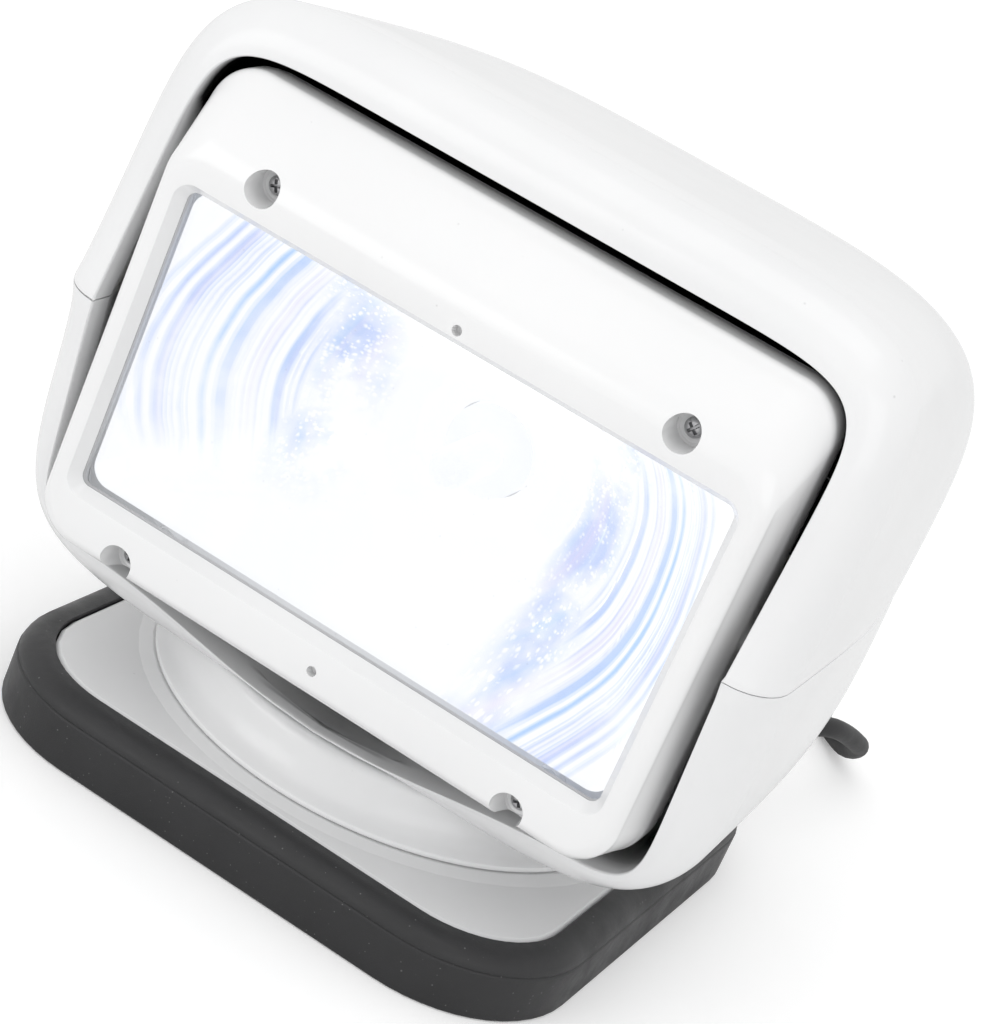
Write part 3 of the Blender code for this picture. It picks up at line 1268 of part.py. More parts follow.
def build_base():
    make_boot()
    make_magnets()
    make_keeper()
    make_base_plate()
    make_spindle()
    make_washer()
    make_spindle_nut()
    sun = make_gear("sun_gear", GEAR_TEETH, SPINDLE_HOLE, PAN_MESH)
    sun.location = (0.0, 0.0, SUN_BASE)


def build_lead():
    make_strain_relief()
    make_lead()
    make_coil()
    make_tail()
    make_plug()


def meshing_turn(direction):
    """Turn of a pinion whose gap faces the gear tooth that points at it in this direction."""
    return direction + math.pi + math.pi / PINION_TEETH


def build_housing(pan_axis):
    pieces = [make_lower_shell(), make_upper_hood(), *make_bushes(), make_driver(), make_board()]
    pan_motor = motor_solid("pan_motor", PAN_MOTOR_LENGTH, PAN_MOTOR_FEET, FLOOR_TOP + GAP - SUN_BASE)
    pan_motor.location = (0.0, GEAR_DISTANCE, SUN_BASE)
    pan_pinion = make_pinion("pan_pinion", meshing_turn(PAN_MESH))
    pan_pinion.location = (0.0, GEAR_DISTANCE, SUN_BASE)
    feet = [(up, back) for back, up in TILT_MOTOR_FEET]
    tilt_motor = motor_solid("tilt_motor", TILT_MOTOR_LENGTH, feet, GEAR_OUTER_X + GAP - CHEEK_POST_X)
    tilt_pinion = make_pinion("tilt_pinion", meshing_turn(TILT_MESH))
    for piece in (tilt_motor, tilt_pinion):
        piece.rotation_euler = (0.0, math.radians(-90.0), 0.0)
        piece.location = (GEAR_OUTER_X, TILT_PINION_Y, TILT_PINION_Z)
    for piece in (*pieces, pan_motor, tilt_motor, pan_pinion, tilt_pinion):
        attach(piece, pan_axis)


def build_head(tilt_axis):
    gear = make_gear("tilt_gear", GEAR_TEETH, TRUNNION_RADIUS + GAP, TILT_MESH)
    gear.rotation_euler = (0.0, math.radians(-90.0), 0.0)
    gear.location = (GEAR_OUTER_X, *TILT_AXIS[1:])
    reach = GEAR_MODULE * GEAR_TEETH
    cut(gear, box("sector_cut", (-reach, -reach, -PAST), (reach, -SECTOR_EDGE, PAST)))
    pieces = [make_front_frame(), make_gasket(), make_lens(), make_reflector(), make_rear_case(), make_bulb(),
              make_bulb_holder(), make_back_cap(), *make_trunnions(), gear, *make_face_screws()]
    for piece in pieces:
        attach(piece, tilt_axis)


def build():
    build_base()
    build_lead()
    pan_axis = empty("pan_axis", (0.0, 0.0, 0.0))
    tilt_axis = empty("tilt_axis", TILT_AXIS, pan_axis)
    build_housing(pan_axis)
    build_head(tilt_axis)


build()
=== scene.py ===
"""Looks of the marine searchlight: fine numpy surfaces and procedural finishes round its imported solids."""
import math

import bpy
import bmesh
import numpy as np
from mathutils import Matrix, Vector


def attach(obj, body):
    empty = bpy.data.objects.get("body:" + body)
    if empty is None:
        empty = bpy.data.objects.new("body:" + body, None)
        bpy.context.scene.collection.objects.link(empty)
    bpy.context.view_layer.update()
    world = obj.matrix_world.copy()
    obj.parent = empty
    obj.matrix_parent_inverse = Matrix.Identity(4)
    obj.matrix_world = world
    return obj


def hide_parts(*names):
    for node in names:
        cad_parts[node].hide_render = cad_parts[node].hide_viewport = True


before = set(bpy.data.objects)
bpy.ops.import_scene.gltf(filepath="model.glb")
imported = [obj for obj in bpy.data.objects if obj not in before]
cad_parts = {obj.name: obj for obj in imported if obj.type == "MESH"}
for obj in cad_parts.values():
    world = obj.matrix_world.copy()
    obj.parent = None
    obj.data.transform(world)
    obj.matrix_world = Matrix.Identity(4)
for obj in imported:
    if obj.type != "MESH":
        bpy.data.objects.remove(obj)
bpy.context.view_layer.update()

# Camera: where it looks from, in degrees, metres and pixels of the photograph
CAMERA_AZIMUTH = 18.0
CAMERA_ELEVATION = 22.9
CAMERA_ROLL = 23.9
CAMERA_DISTANCE = 0.9088
CAMERA_TARGET = (0.0002, 0.0, 0.0929)
FOCAL_PIXELS = 3160.4
LONG_SIDE_PIXELS = 1024
SENSOR_WIDTH = 36.0

# Housing: half widths, heights from the seam, and the mouth
SEAM_HEIGHT = 0.1220
SEAM_GAP = 0.0003
BODY_HALF_WIDTH = 0.1150
BODY_RISE = 0.0957
BODY_DROP = 0.0870
REAR_REACH = 0.0950
PLAN_POWER = 3.6
ROOF_FALL = 0.0250
BELLY_RISE = 0.0160
ROOF_POWER = 6.5
ROOF_POWER_LOSS = 2.5
ROOF_REAR_POWER = 7
BELLY_POWER = 5.0
BELLY_POWER_LOSS = 1.0
BELLY_REAR_POWER = 5
MOUTH_HALF_WIDTH = 0.1010
MOUTH_RISE = 0.0804
MOUTH_DROP = 0.0735
MOUTH_FRONT = 0.0825
MOUTH_RAKE = 0.1900
MOUTH_UPPER_POWER = 10.0
MOUTH_LOWER_POWER = 12.0
MOUTH_EDGE_ROUNDING = 0.0010
LIP_DIP = 0.0100
LIP_DIP_REACH = 0.0850
BAND_DEPTH = 0.0160
HOUSING_WALL = 0.0030
DECK_TOP = 0.0368
DECK_RADIUS = 0.0615
THROAT_DEPTH = 0.0092
SEAM_EASE = 0.0003
SEAM_EASE_HEIGHT = 0.0009
# How much of the painted shade on the housing's inner side is taken off in the bowl between the cheeks
BOWL_PALENESS = 0.90
OUTLINE_STEPS = 96
DEPTH_STEPS = 54

# Neck and foot under the housing
FOOT_BASE = 0.0218
NECK_PROFILE = [(0.0600, 0.0560), (0.0645, 0.0560), (0.0646, 0.0400), (0.0652, 0.0383), (0.0664, 0.0372),
                (0.0678, 0.0360), (0.0687, 0.0345), (0.0691, 0.0328), (0.0697, 0.0305), (0.0707, 0.0279),
                (0.0722, 0.0258), (0.0744, 0.0243), (0.0762, 0.0237), (0.0768, 0.0234), (0.0770, 0.0229),
                (0.0770, 0.0222), (0.0768, 0.0219), (0.0764, FOOT_BASE), (0.0600, FOOT_BASE)]

# Boot and base plate
BOOT_HALF_WIDTH = 0.0945
BOOT_HALF_DEPTH = 0.0955
BOOT_CORNER = 0.0410
BOOT_PARTING = 0.0149
PARTING_GROOVE = 0.0003
BOOT_EDGE = 0.0013
BOOT_SLOPE_SHARE = 0.78
BOOT_HEIGHT = 0.0202
BOOT_FLOOR = 0.0025
PLATE_HALF = 0.0846
PLATE_CORNER = 0.0300

# Lamp head
HEAD_HALF_WIDTH = 0.0970
HEAD_TOP = 0.1980
HEAD_BOTTOM = 0.0540
HEAD_FACE = 0.0860
HEAD_BACK = 0.0600
HEAD_WALL = 0.0030
HEAD_CORNER = 0.0140
FRAME_EASE = 0.0004
SHOULDER_START = 0.0660
SHOULDER_FALL = 0.0022
BROW_START = 0.0690
BROW_DROP = 0.0220
BROW_DEPTH = 0.0128
BROW_TURN = 0.0078
BORDER_TAPER = 0.0022
BORDER_LIFT = 0.0016
FACE_ROUNDING = 0.0042
LOWER_ROUNDING = 0.0038
WINDOW_HALF_WIDTH = 0.0855
WINDOW_HALF_HEIGHT = 0.0455
WINDOW_HEIGHT = 0.1190
WINDOW_CORNER = 0.0030
WINDOW_BEVEL = 0.0023
FACE_THICKNESS = 0.0038
POCKET_RADIUS = 0.0050
POCKET_FLOOR = 0.0755
SMALL_HOLE_RADIUS = 0.0015
SMALL_HOLE_DEPTH = 0.0030
SCREW_PLACES = [(side * 0.0650, height) for height in (0.1755, 0.0598) for side in (-1, 1)]
SCREW_HEAD_RADIUS = 0.0028
SCREW_HEAD_HEIGHT = 0.0022
CROSS_DEPTH = 0.0013
SMALL_HOLE_HEIGHTS = (0.1693, 0.0639)
REFLECTOR_FRONT = 0.0763
REFLECTOR_BACK = 0.0220
REFLECTOR_THROAT = 0.0140
REFLECTOR_CURVE = 0.62
REFLECTOR_CORNER = 0.0060
REFLECTOR_STEP = 0.0110
REFLECTOR_SHEET = 0.0012

# Bowl with painted reflection: the strength of the glow that stands in for what the polished bowl reflects,
# how many ring edges there are in a metre, and where rings and haze start and end
PAINTED_GLOW = 0.93
RING_FINENESS = 330.0
RINGS_START = (0.046, 0.056)
RINGS_END = (0.083, 0.089)
HAZE_START = (0.030, 0.040)

# Floor and light: the floor's half side and lift, and each lamp's place, size and power
FLOOR_HALF = 6.0
FLOOR_LIFT = 0.23
SURROUNDINGS = 0.92
LAMPS = {"key_lamp": ((-1.1, -1.5, 0.9), 1.2, 4.9), "fill_lamp": ((1.3, -1.2, 0.8), 1.2, 3.0),
         "top_lamp": ((0.0, -0.2, 1.9), 1.4, 3.2)}

# Lead: its outlet, route, coil and plug
CORD_RADIUS = 0.0033
OUTLET_MOUTH = np.array((0.05958, 0.07906, 0.02389))
OUTLET_DIRECTION = np.array((0.58867, 0.78119, 0.20791))
RELIEF_INSIDE = 0.0120
RELIEF_OUTSIDE = 0.0360
RELIEF_RADIUS = 0.0048
FLOOR_LEVEL = 0.0036
LEAD_RUN = 0.0056
LEAD_KNOTS = [(0.0935, 0.1303, 0.0320), (0.0987, 0.1597, 0.0183), (0.0908, 0.1796, 0.0062),
              (0.0732, 0.1969, FLOOR_LEVEL), (0.0430, 0.2060, FLOOR_LEVEL)]
COIL_CENTRE = (-0.0080, 0.1760)
COIL_RADII = (0.0429, 0.0360, 0.0291)
COIL_LAYERS = 4
TIE_HALF_WIDTH = 0.0026
TIE_THICKNESS = 0.0004
COIL_START = 67.5
COIL_END = 172.5
TAIL_KNOTS = [(-0.0570, 0.1580, FLOOR_LEVEL), (-0.0532, 0.1335, FLOOR_LEVEL), (-0.0567, 0.1201, FLOOR_LEVEL),
              (-0.0665, 0.1104, FLOOR_LEVEL), (-0.0797, 0.1068, FLOOR_LEVEL), (-0.0930, 0.1104, 0.0052),
              (-0.1026, 0.1202, 0.0084), (-0.1060, 0.1335, 0.0112), (-0.1060, 0.1460, 0.0118)]
PLUG_END = (-0.1060, 0.1450, 0.0118)
PLUG_RADIUS = 0.0115
PLUG_GRIP = [(0.0003, 0.0), (0.0050, 0.0), (0.0055, 0.0004), (0.0060, 0.0060), (0.0070, 0.0100),
             (0.0092, 0.0150), (0.0109, 0.0190), (PLUG_RADIUS, 0.0210), (PLUG_RADIUS, 0.0240),
             (PLUG_RADIUS, 0.0300), (PLUG_RADIUS, 0.0400), (PLUG_RADIUS, 0.0465), (0.0113, 0.0480),
             (PLUG_RADIUS, 0.0484), (PLUG_RADIUS, 0.0515), (0.0110, 0.0520), (0.0003, 0.0520)]
PLUG_NOSE = [(0.0003, 0.0523), (0.0102, 0.0523), (0.0104, 0.0528), (0.0101, 0.0623), (0.0098, 0.0663),
             (0.0078, 0.0698), (0.0055, 0.0718), (0.0048, 0.0723), (0.0003, 0.0723)]
PLUG_TIP = [(0.0003, 0.0726), (0.0030, 0.0726), (0.0030, 0.0746), (0.0026, 0.0759), (0.0016, 0.0766),
            (0.0003, 0.0768)]
PLUG_SPRING_SECTION = (0.0020, 0.0003)
PLUG_SPRING = [(0.0, 0.0543, 0.0098), (0.0, 0.0583, 0.0109), (0.0, 0.0623, 0.0108), (0.0, 0.0663, 0.0092)]


def make_camera():
    """Look back along azimuth and elevation; the roll turns the picture clockwise."""
    azimuth, elevation, roll = (math.radians(v) for v in (CAMERA_AZIMUTH, CAMERA_ELEVATION, CAMERA_ROLL))
    back = Vector((math.sin(azimuth) * math.cos(elevation), -math.cos(azimuth) * math.cos(elevation),
                   math.sin(elevation)))
    level = Vector((math.cos(azimuth), math.sin(azimuth), 0.0))
    upright = back.cross(level)
    right = level * math.cos(roll) + upright * math.sin(roll)
    up = upright * math.cos(roll) - level * math.sin(roll)
    place = Vector(CAMERA_TARGET) + back * CAMERA_DISTANCE
    data = bpy.data.cameras.new("camera")
    data.sensor_width = SENSOR_WIDTH
    data.lens = FOCAL_PIXELS * SENSOR_WIDTH / LONG_SIDE_PIXELS
    data.clip_end = 20.0
    camera = bpy.data.objects.new("camera", data)
    bpy.context.scene.collection.objects.link(camera)
    camera.matrix_world = Matrix.Translation(place) @ Matrix((right, up, back)).transposed().to_4x4()
    bpy.context.scene.camera = camera


# Nodes and shared shader groups

def fill(made, inputs):
    """Set a node's inputs; one that is given a socket is linked to it. An underline stands for a space."""
    for name, value in inputs.items():
        given = made.inputs[name.replace("_", " ") if isinstance(name, str) else name]
        if isinstance(value, bpy.types.NodeSocket):
            made.id_data.links.new(value, given)
        else:
            given.default_value = value


def node(owner, kind, inputs=None, **settings):
    """A shader node with its inputs filled, in the tree that the owner is or is part of."""
    made = owner.id_data.nodes.new("ShaderNode" + kind)
    for name, value in settings.items():
        setattr(made, name, value)
    fill(made, inputs or {})
    return made


def maths(operation, first, second, clamp=False):
    return node(first, "Math", {0: first, 1: second}, operation=operation, use_clamp=clamp).outputs[0]


def ramp(value, start, end, low=0.0, high=1.0):
    """Value at start gives low and at end gives high, and beyond them it stays so."""
    return node(value, "MapRange", {0: value, 1: start, 2: end, 3: low, 4: high}).outputs["Result"]


def new_group(name, values, output):
    """An empty node group: a Vector input, float inputs with defaults, and one float output."""
    tree = bpy.data.node_groups.new(name, "ShaderNodeTree")
    tree.interface.new_socket("Vector", in_out="INPUT", socket_type="NodeSocketVector")
    for label, value in values.items():
        socket = tree.interface.new_socket(label, in_out="INPUT", socket_type="NodeSocketFloat")
        socket.default_value = value
    tree.interface.new_socket(output, in_out="OUTPUT", socket_type="NodeSocketFloat")
    return tree, tree.nodes.new("NodeGroupInput").outputs, tree.nodes.new("NodeGroupOutput").inputs[0]


def mottle_group():
    """Soft noise, spread between a low and a high value."""
    tree, given, out = new_group("mottle", {"Scale": 30.0, "Low": 0.0, "High": 1.0}, "Value")
    noise = node(tree, "TexNoise", {"Vector": given["Vector"], "Scale": given["Scale"], "Detail": 4.0,
                                    "Roughness": 0.55})
    tree.links.new(ramp(noise.outputs["Fac"], 0.3, 0.7, given["Low"], given["High"]), out)
    return tree


def speck_group():
    """Sparse round specks: cells of a grid, of which only some hold a dot of their own size."""
    tree, given, out = new_group("specks", {"Scale": 300.0, "Share": 0.1, "Size": 0.25}, "Mask")
    cells = node(tree, "TexVoronoi", {"Vector": given["Vector"], "Scale": given["Scale"]})
    pick = node(tree, "SeparateColor", {"Color": cells.outputs["Color"]})
    chosen = maths("LESS_THAN", pick.outputs["Red"], given["Share"])
    size = maths("MULTIPLY", pick.outputs["Green"], given["Size"])
    dot = ramp(cells.outputs["Distance"], size, 0.0)
    tree.links.new(maths("MULTIPLY", dot, chosen), out)
    return tree


def skin_group():
    """Height of a moulded skin: a faint long wave and a fine grain."""
    values = {"Wave Scale": 60.0, "Grain Scale": 1500.0, "Grain": 0.2}
    tree, given, out = new_group("moulded_skin", values, "Height")
    wave = node(tree, "TexNoise", {"Vector": given["Vector"], "Scale": given["Wave Scale"], "Detail": 1.0})
    grain = node(tree, "TexNoise", {"Vector": given["Vector"], "Scale": given["Grain Scale"], "Detail": 2.0})
    share = maths("MULTIPLY", grain.outputs["Fac"], given["Grain"])
    tree.links.new(maths("ADD", share, wave.outputs["Fac"]), out)
    return tree


MOTTLE = mottle_group()
SPECKS = speck_group()
SKIN = skin_group()


def grouped(group, vector, **values):
    """Place a shared group with its own values and give back its output."""
    return node(vector, "Group", {"Vector": vector, **values}, node_tree=group).outputs[0]


def blend_colours(share, first, second):
    """Mix from the first colour to the second; each is a colour or a socket."""
    first, second = ((*colour, 1.0) if isinstance(colour, tuple) else colour for colour in (first, second))
    return node(share, "Mix", {0: share, 6: first, 7: second}, data_type="RGBA").outputs[2]


def new_material(name, **constants):
    """A Principled material, its shader and its Object coordinates."""
    material = bpy.data.materials.new(name)
    material.use_nodes = True
    shader = material.node_tree.nodes["Principled BSDF"]
    fill(shader, constants)
    return material, shader, node(shader, "TexCoord").outputs["Object"]


def feed(shader, colour, **others):
    """Feed a base colour and other named inputs to the shader."""
    fill(shader, {"Base Color": colour, **others})


def add_skin(shader, place, strength, distance, **values):
    """Feed a moulded skin's height to the shader's normal."""
    height = grouped(SKIN, place, **values)
    bump = node(place, "Bump", {"Height": height, "Strength": strength, "Distance": distance})
    fill(shader, {"Normal": bump.outputs["Normal"]})


def white_plastic(name, colour, shade, low, high, inner=None):
    """Glossy moulded plastic with a faint cast, dust and, where asked, painted shade on its inner side."""
    material, shader, place = new_material(name, Specular_IOR_Level=0.5, Coat_Weight=0.25,
                                           Coat_Roughness=0.08)
    cast = grouped(MOTTLE, place, Scale=14.0)
    dust = grouped(SPECKS, place, Scale=260.0, Share=0.05, Size=0.16)
    base = blend_colours(cast, colour, shade)
    base = blend_colours(dust, base, tuple(0.80 * v for v in shade))
    # Where asked, painted shade: the inside attribute blends the inner side towards a near-black colour
    if inner:
        inside = node(shader, "Attribute", attribute_name="inside").outputs["Fac"]
        base = blend_colours(inside, base, inner)
    feed(shader, base, Roughness=grouped(MOTTLE, place, Scale=9.0, Low=low, High=high))
    add_skin(shader, place, 0.04, 0.0004, Wave_Scale=20.0, Grain_Scale=1600.0, Grain=0.15)
    return material


def rubber(name, colour, dust_colour, low, high, dust_share, grain):
    """Dark rubber with a fine grain, rubbed paler patches and specks of dust."""
    material, shader, place = new_material(name, Specular_IOR_Level=0.4)
    worn = grouped(MOTTLE, place, Scale=45.0, Low=0.0, High=0.5)
    dust = grouped(SPECKS, place, Scale=800.0, Share=dust_share, Size=0.30)
    base = blend_colours(worn, colour, tuple(1.7 * v for v in colour))
    feed(shader, blend_colours(dust, base, dust_colour),
         Roughness=grouped(MOTTLE, place, Scale=90.0, Low=low, High=high))
    add_skin(shader, place, 0.35, 0.0003, Wave_Scale=200.0, Grain_Scale=2600.0, Grain=grain)
    return material


def metal(name, colour, low, high, streak):
    """Bare metal; its fine scratches are drawn out along the axis whose streak is small."""
    material, shader, place = new_material(name, Metallic=1.0)
    drawn = node(place, "Mapping", {"Vector": place, "Scale": streak}).outputs["Vector"]
    scratch = grouped(MOTTLE, drawn, Scale=400.0)
    feed(shader, blend_colours(scratch, colour, tuple(0.72 * v for v in colour)),
         Roughness=grouped(MOTTLE, drawn, Scale=260.0, Low=low, High=high))
    add_skin(shader, drawn, 0.25, 0.0001, Wave_Scale=500.0, Grain_Scale=2500.0, Grain=0.5)
    return material


def clear_glass(name, tint):
    """Clear glass; faint smears change its roughness."""
    material, shader, place = new_material(name, Transmission_Weight=1.0, IOR=1.47)
    smear = grouped(MOTTLE, place, Scale=18.0, Low=0.0, High=0.05)
    dust = grouped(SPECKS, place, Scale=500.0, Share=0.04, Size=0.2)
    feed(shader, blend_colours(dust, tint, tuple(0.8 * v for v in tint)), Roughness=smear)
    return material


def painted_reflection_bowl(name):
    """Bowl with a painted reflection: a white glow, with blue and lavender rings far out to both sides and
    haze inside them, stands in for what the polished bowl reflects.
    """
    material, shader, place = new_material(name, Metallic=1.0, Roughness=0.25, Emission_Strength=PAINTED_GLOW)
    centred = node(place, "Mapping", {"Vector": place, "Location": (0.0, 0.0, -WINDOW_HEIGHT)})
    flat = node(place, "SeparateXYZ", {"Vector": centred.outputs["Vector"]})
    spot = node(place, "CombineXYZ", {"X": flat.outputs["X"], "Y": flat.outputs["Z"]}).outputs["Vector"]
    across = node(place, "Math", {0: flat.outputs["X"]}, operation="ABSOLUTE").outputs[0]
    outer = ramp(across, *RINGS_START)

    reach = node(place, "VectorMath", {0: spot}, operation="LENGTH").outputs["Value"]
    drift = grouped(MOTTLE, spot, Scale=9.0, Low=-0.0012, High=0.0012)
    bent = maths("ADD", reach, drift)
    radius = node(place, "CombineXYZ", {"X": bent}).outputs["Vector"]
    band = grouped(MOTTLE, radius, Scale=RING_FINENESS, Low=-1.1, High=1.9)
    band = maths("MULTIPLY", band, outer, clamp=True)
    edge = ramp(reach, *RINGS_END, 1.0, 0.0)
    right = ramp(flat.outputs["X"], -0.01, 0.01)
    high = ramp(flat.outputs["Z"], -0.034, -0.020)
    kept = maths("MAXIMUM", right, high)
    lit = maths("MULTIPLY", kept, edge)
    broken = grouped(MOTTLE, spot, Scale=22.0, Low=0.1, High=1.4)
    broken = maths("MULTIPLY", broken, lit)
    rings = maths("MULTIPLY", band, broken, clamp=True)

    inner = ramp(across, *HAZE_START)
    between = maths("SUBTRACT", inner, outer, clamp=True)
    cloud = grouped(MOTTLE, spot, Scale=38.0, Low=-0.6, High=1.5)
    sparkle = grouped(SPECKS, spot, Scale=900.0, Share=0.6, Size=0.9)
    clear = maths("SUBTRACT", cloud, sparkle)
    haze = maths("MULTIPLY", between, clear, clamp=True)
    haze = maths("MULTIPLY", haze, kept)

    tinted = maths("MAXIMUM", rings, haze)
    hue = grouped(MOTTLE, radius, Scale=90.0, Low=-0.1, High=1.0)
    tint = blend_colours(hue, (0.36, 0.62, 0.96), (0.78, 0.68, 0.92))
    # Painted reflection: the emission's white, rings and haze stand in for what the bowl reflects
    feed(shader, blend_colours(hue, (0.10, 0.10, 0.11), (0.13, 0.13, 0.14)),
         Emission_Color=blend_colours(tinted, (1.0, 1.0, 1.0), tint))
    return material


def painted_glow_finish(name):
    """Painted glow on a piece in the beam: nearly white, with a faint cast, standing in for what falls on
    it.
    """
    material, shader, place = new_material(name, Roughness=0.6, Specular_IOR_Level=0.1,
                                           Emission_Strength=PAINTED_GLOW)
    cast = grouped(MOTTLE, place, Scale=60.0)
    feed(shader, blend_colours(cast, (0.12, 0.12, 0.12), (0.10, 0.10, 0.11)),
         Emission_Color=blend_colours(cast, (1.0, 1.0, 1.0), (0.97, 0.98, 1.0)))
    return material


def circuit_board(name):
    """Green lacquer over copper tracks, with tinned pads."""
    material, shader, place = new_material(name, Specular_IOR_Level=0.5)
    tracks = node(place, "TexBrick", {"Vector": place, "Scale": 260.0, "Mortar Size": 0.03,
                                      "Color1": (0.012, 0.11, 0.045, 1), "Color2": (0.014, 0.13, 0.05, 1),
                                      "Mortar": (0.03, 0.24, 0.09, 1)}).outputs["Color"]
    pads = grouped(SPECKS, place, Scale=330.0, Share=0.2, Size=0.5)
    feed(shader, blend_colours(pads, tracks, (0.55, 0.55, 0.5)),
         Roughness=grouped(MOTTLE, place, Scale=80.0, Low=0.2, High=0.4))
    return material


FINISH = {
    # The shell's inner colour is painted shade, near black where the housing's inside lies in shade
    "shell": white_plastic("shell_white", (0.840, 0.842, 0.845), (0.800, 0.803, 0.808), 0.16, 0.26,
                           inner=(0.012, 0.012, 0.013)),
    "face": white_plastic("face_white", (0.865, 0.866, 0.868), (0.835, 0.837, 0.840), 0.14, 0.24),
    "plate": white_plastic("plate_grey", (0.740, 0.742, 0.745), (0.700, 0.702, 0.706), 0.30, 0.42),
    "boot": rubber("boot_rubber", (0.020, 0.020, 0.021), (0.16, 0.16, 0.16), 0.34, 0.55, 0.16, 0.6),
    "cord": rubber("cord_rubber", (0.012, 0.012, 0.013), (0.07, 0.07, 0.07), 0.45, 0.60, 0.03, 0.3),
    "acetal": white_plastic("natural_acetal", (0.74, 0.72, 0.64), (0.68, 0.66, 0.58), 0.35, 0.5),
    "steel": metal("plain_steel", (0.56, 0.56, 0.57), 0.28, 0.45, (0.2, 1.0, 1.0)),
    "can": metal("motor_can", (0.42, 0.42, 0.43), 0.32, 0.5, (1.0, 1.0, 0.2)),
    "cast": metal("cast_case", (0.30, 0.31, 0.32), 0.42, 0.6, (1.0, 1.0, 1.0)),
    "magnet": metal("sintered_magnet", (0.10, 0.10, 0.11), 0.5, 0.7, (1.0, 1.0, 1.0)),
    "brass": metal("turned_brass", (0.70, 0.52, 0.24), 0.25, 0.4, (1.0, 0.2, 1.0)),
    "silicone": white_plastic("pale_silicone", (0.60, 0.60, 0.61), (0.54, 0.54, 0.55), 0.45, 0.6),
    "glass": clear_glass("clear_glass", (0.97, 0.985, 1.0)),
    # Painted reflection on the reflector bowl: a glow standing in for what it reflects
    "painted_reflection": painted_reflection_bowl("painted_reflection_bowl"),
    # Painted glow on the bulb and its holder, standing in for what shines on them
    "painted_glow": painted_glow_finish("painted_glow_lamp"),
    "board": circuit_board("board_lacquer"),
}

NODE_FINISH = {
    "shell": ["rear_case"],
    "acetal": ["sun_gear", "tilt_gear", "pan_pinion", "tilt_pinion", "bush_left", "bush_right"],
    "steel": ["steel_keeper", "spindle", "thrust_washer", "spindle_nut", "trunnion_left", "trunnion_right"],
    "can": ["pan_motor", "tilt_motor"],
    "cast": ["lamp_driver"],
    # The bulb and its holder carry the painted glow
    "painted_glow": ["bulb", "bulb_holder"],
    "silicone": ["lens_gasket"],
    "magnet": ["magnet_front_left", "magnet_front_right", "magnet_rear_left", "magnet_rear_right"],
    "boot": ["back_cap"],
    "glass": ["lens"],
    "board": ["control_board"],
    "plate": ["base_plate"],
}


def dress_nodes():
    """Give every carried-over solid its finish."""
    for finish, names in NODE_FINISH.items():
        for name in names:
            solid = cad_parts[name]
            solid.data.materials.clear()
            solid.data.materials.append(FINISH[finish])


# Shares and meshes from arrays

def rising(value, start, end):
    """Share of the way from start to end, held between 0 and 1."""
    return np.clip((value - start) / (end - start), 0, 1)


def eased(share):
    """A share that starts and stops gently."""
    return share * share * (3 - 2 * share)


def mesh_from_grid(name, rows, finish, around=True, caps=(False, False), ring=False, strips=(), smooth=35.0,
                   inside=None):
    """A mesh from stations (rows, points, 3).

    Neighbouring stations are joined by quads; around closes each station, ring closes the last station to
    the first, caps fill the end stations, and strips adds quads given by vertex numbers. Inside gives each
    point's share of painted shade on the inner side.
    """
    stations, count, _ = rows.shape
    numbers = np.arange(stations * count).reshape(stations, count)
    beside = np.roll(numbers, -1, axis=1)
    quads = np.stack([numbers, beside, np.roll(beside, -1, axis=0), np.roll(numbers, -1, axis=0)], axis=-1)
    quads = quads[:stations if ring else -1, :count if around else -1]
    faces = quads.reshape(-1, 4).tolist() + [list(strip) for strip in strips]
    faces += [numbers[end].tolist() for end, capped in zip((0, -1), caps) if capped]
    mesh = bpy.data.meshes.new(name)
    mesh.from_pydata(rows.reshape(-1, 3).tolist(), [], faces)
    if inside is not None:
        # The inside attribute holds each point's share of painted shade
        layer = mesh.attributes.new("inside", "FLOAT", "POINT")
        layer.data.foreach_set("value", inside.astype(np.float32).ravel())
    tidy_mesh(mesh, smooth)
    made = bpy.data.objects.new(name, mesh)
    bpy.context.scene.collection.objects.link(made)
    mesh.materials.append(FINISH[finish])
    return made


def tidy_mesh(mesh, smooth):
    """Merge doubled points, drop collapsed faces, turn faces outwards and shade them smooth."""
    work = bmesh.new()
    work.from_mesh(mesh)
    bmesh.ops.remove_doubles(work, verts=work.verts, dist=1e-6)
    bmesh.ops.dissolve_degenerate(work, edges=work.edges, dist=1e-7)
    bmesh.ops.recalc_face_normals(work, faces=work.faces)
    work.to_mesh(mesh)
    work.free()
    mesh.shade_smooth()
    mesh.set_sharp_from_angle(angle=math.radians(smooth))


def turned(name, profile, finish, steps=96, place=(0, 0, 0), along=(0, 0, 1), fluting=None, closed=False,
           smooth=35.0):
    """A profile of (radius, height) points turned about an axis.

    Fluting gives the number and depth of raised-cosine flutes and the heights that they lie between.
    Closed joins the profile's end to its start, as for a ring.
    """
    profile = np.array(profile)
    turn = np.linspace(0.0, 2 * np.pi, steps, endpoint=False)
    radius = np.repeat(profile[:, :1], steps, axis=1)
    height = np.repeat(profile[:, 1:], steps, axis=1)
    if fluting:
        flutes, depth, low, high = fluting
        radius = radius - (height > low) * (height < high) * depth * 0.5 * (1 + np.cos(flutes * turn))
    flat = np.stack([radius * np.cos(turn), radius * np.sin(turn), height], axis=-1)
    axes = np.array(Vector(along).to_track_quat("Z", "Y").to_matrix())
    rows = flat @ axes.T + np.array(place)
    return mesh_from_grid(name, rows, finish, caps=(not closed, not closed), ring=closed, smooth=smooth)


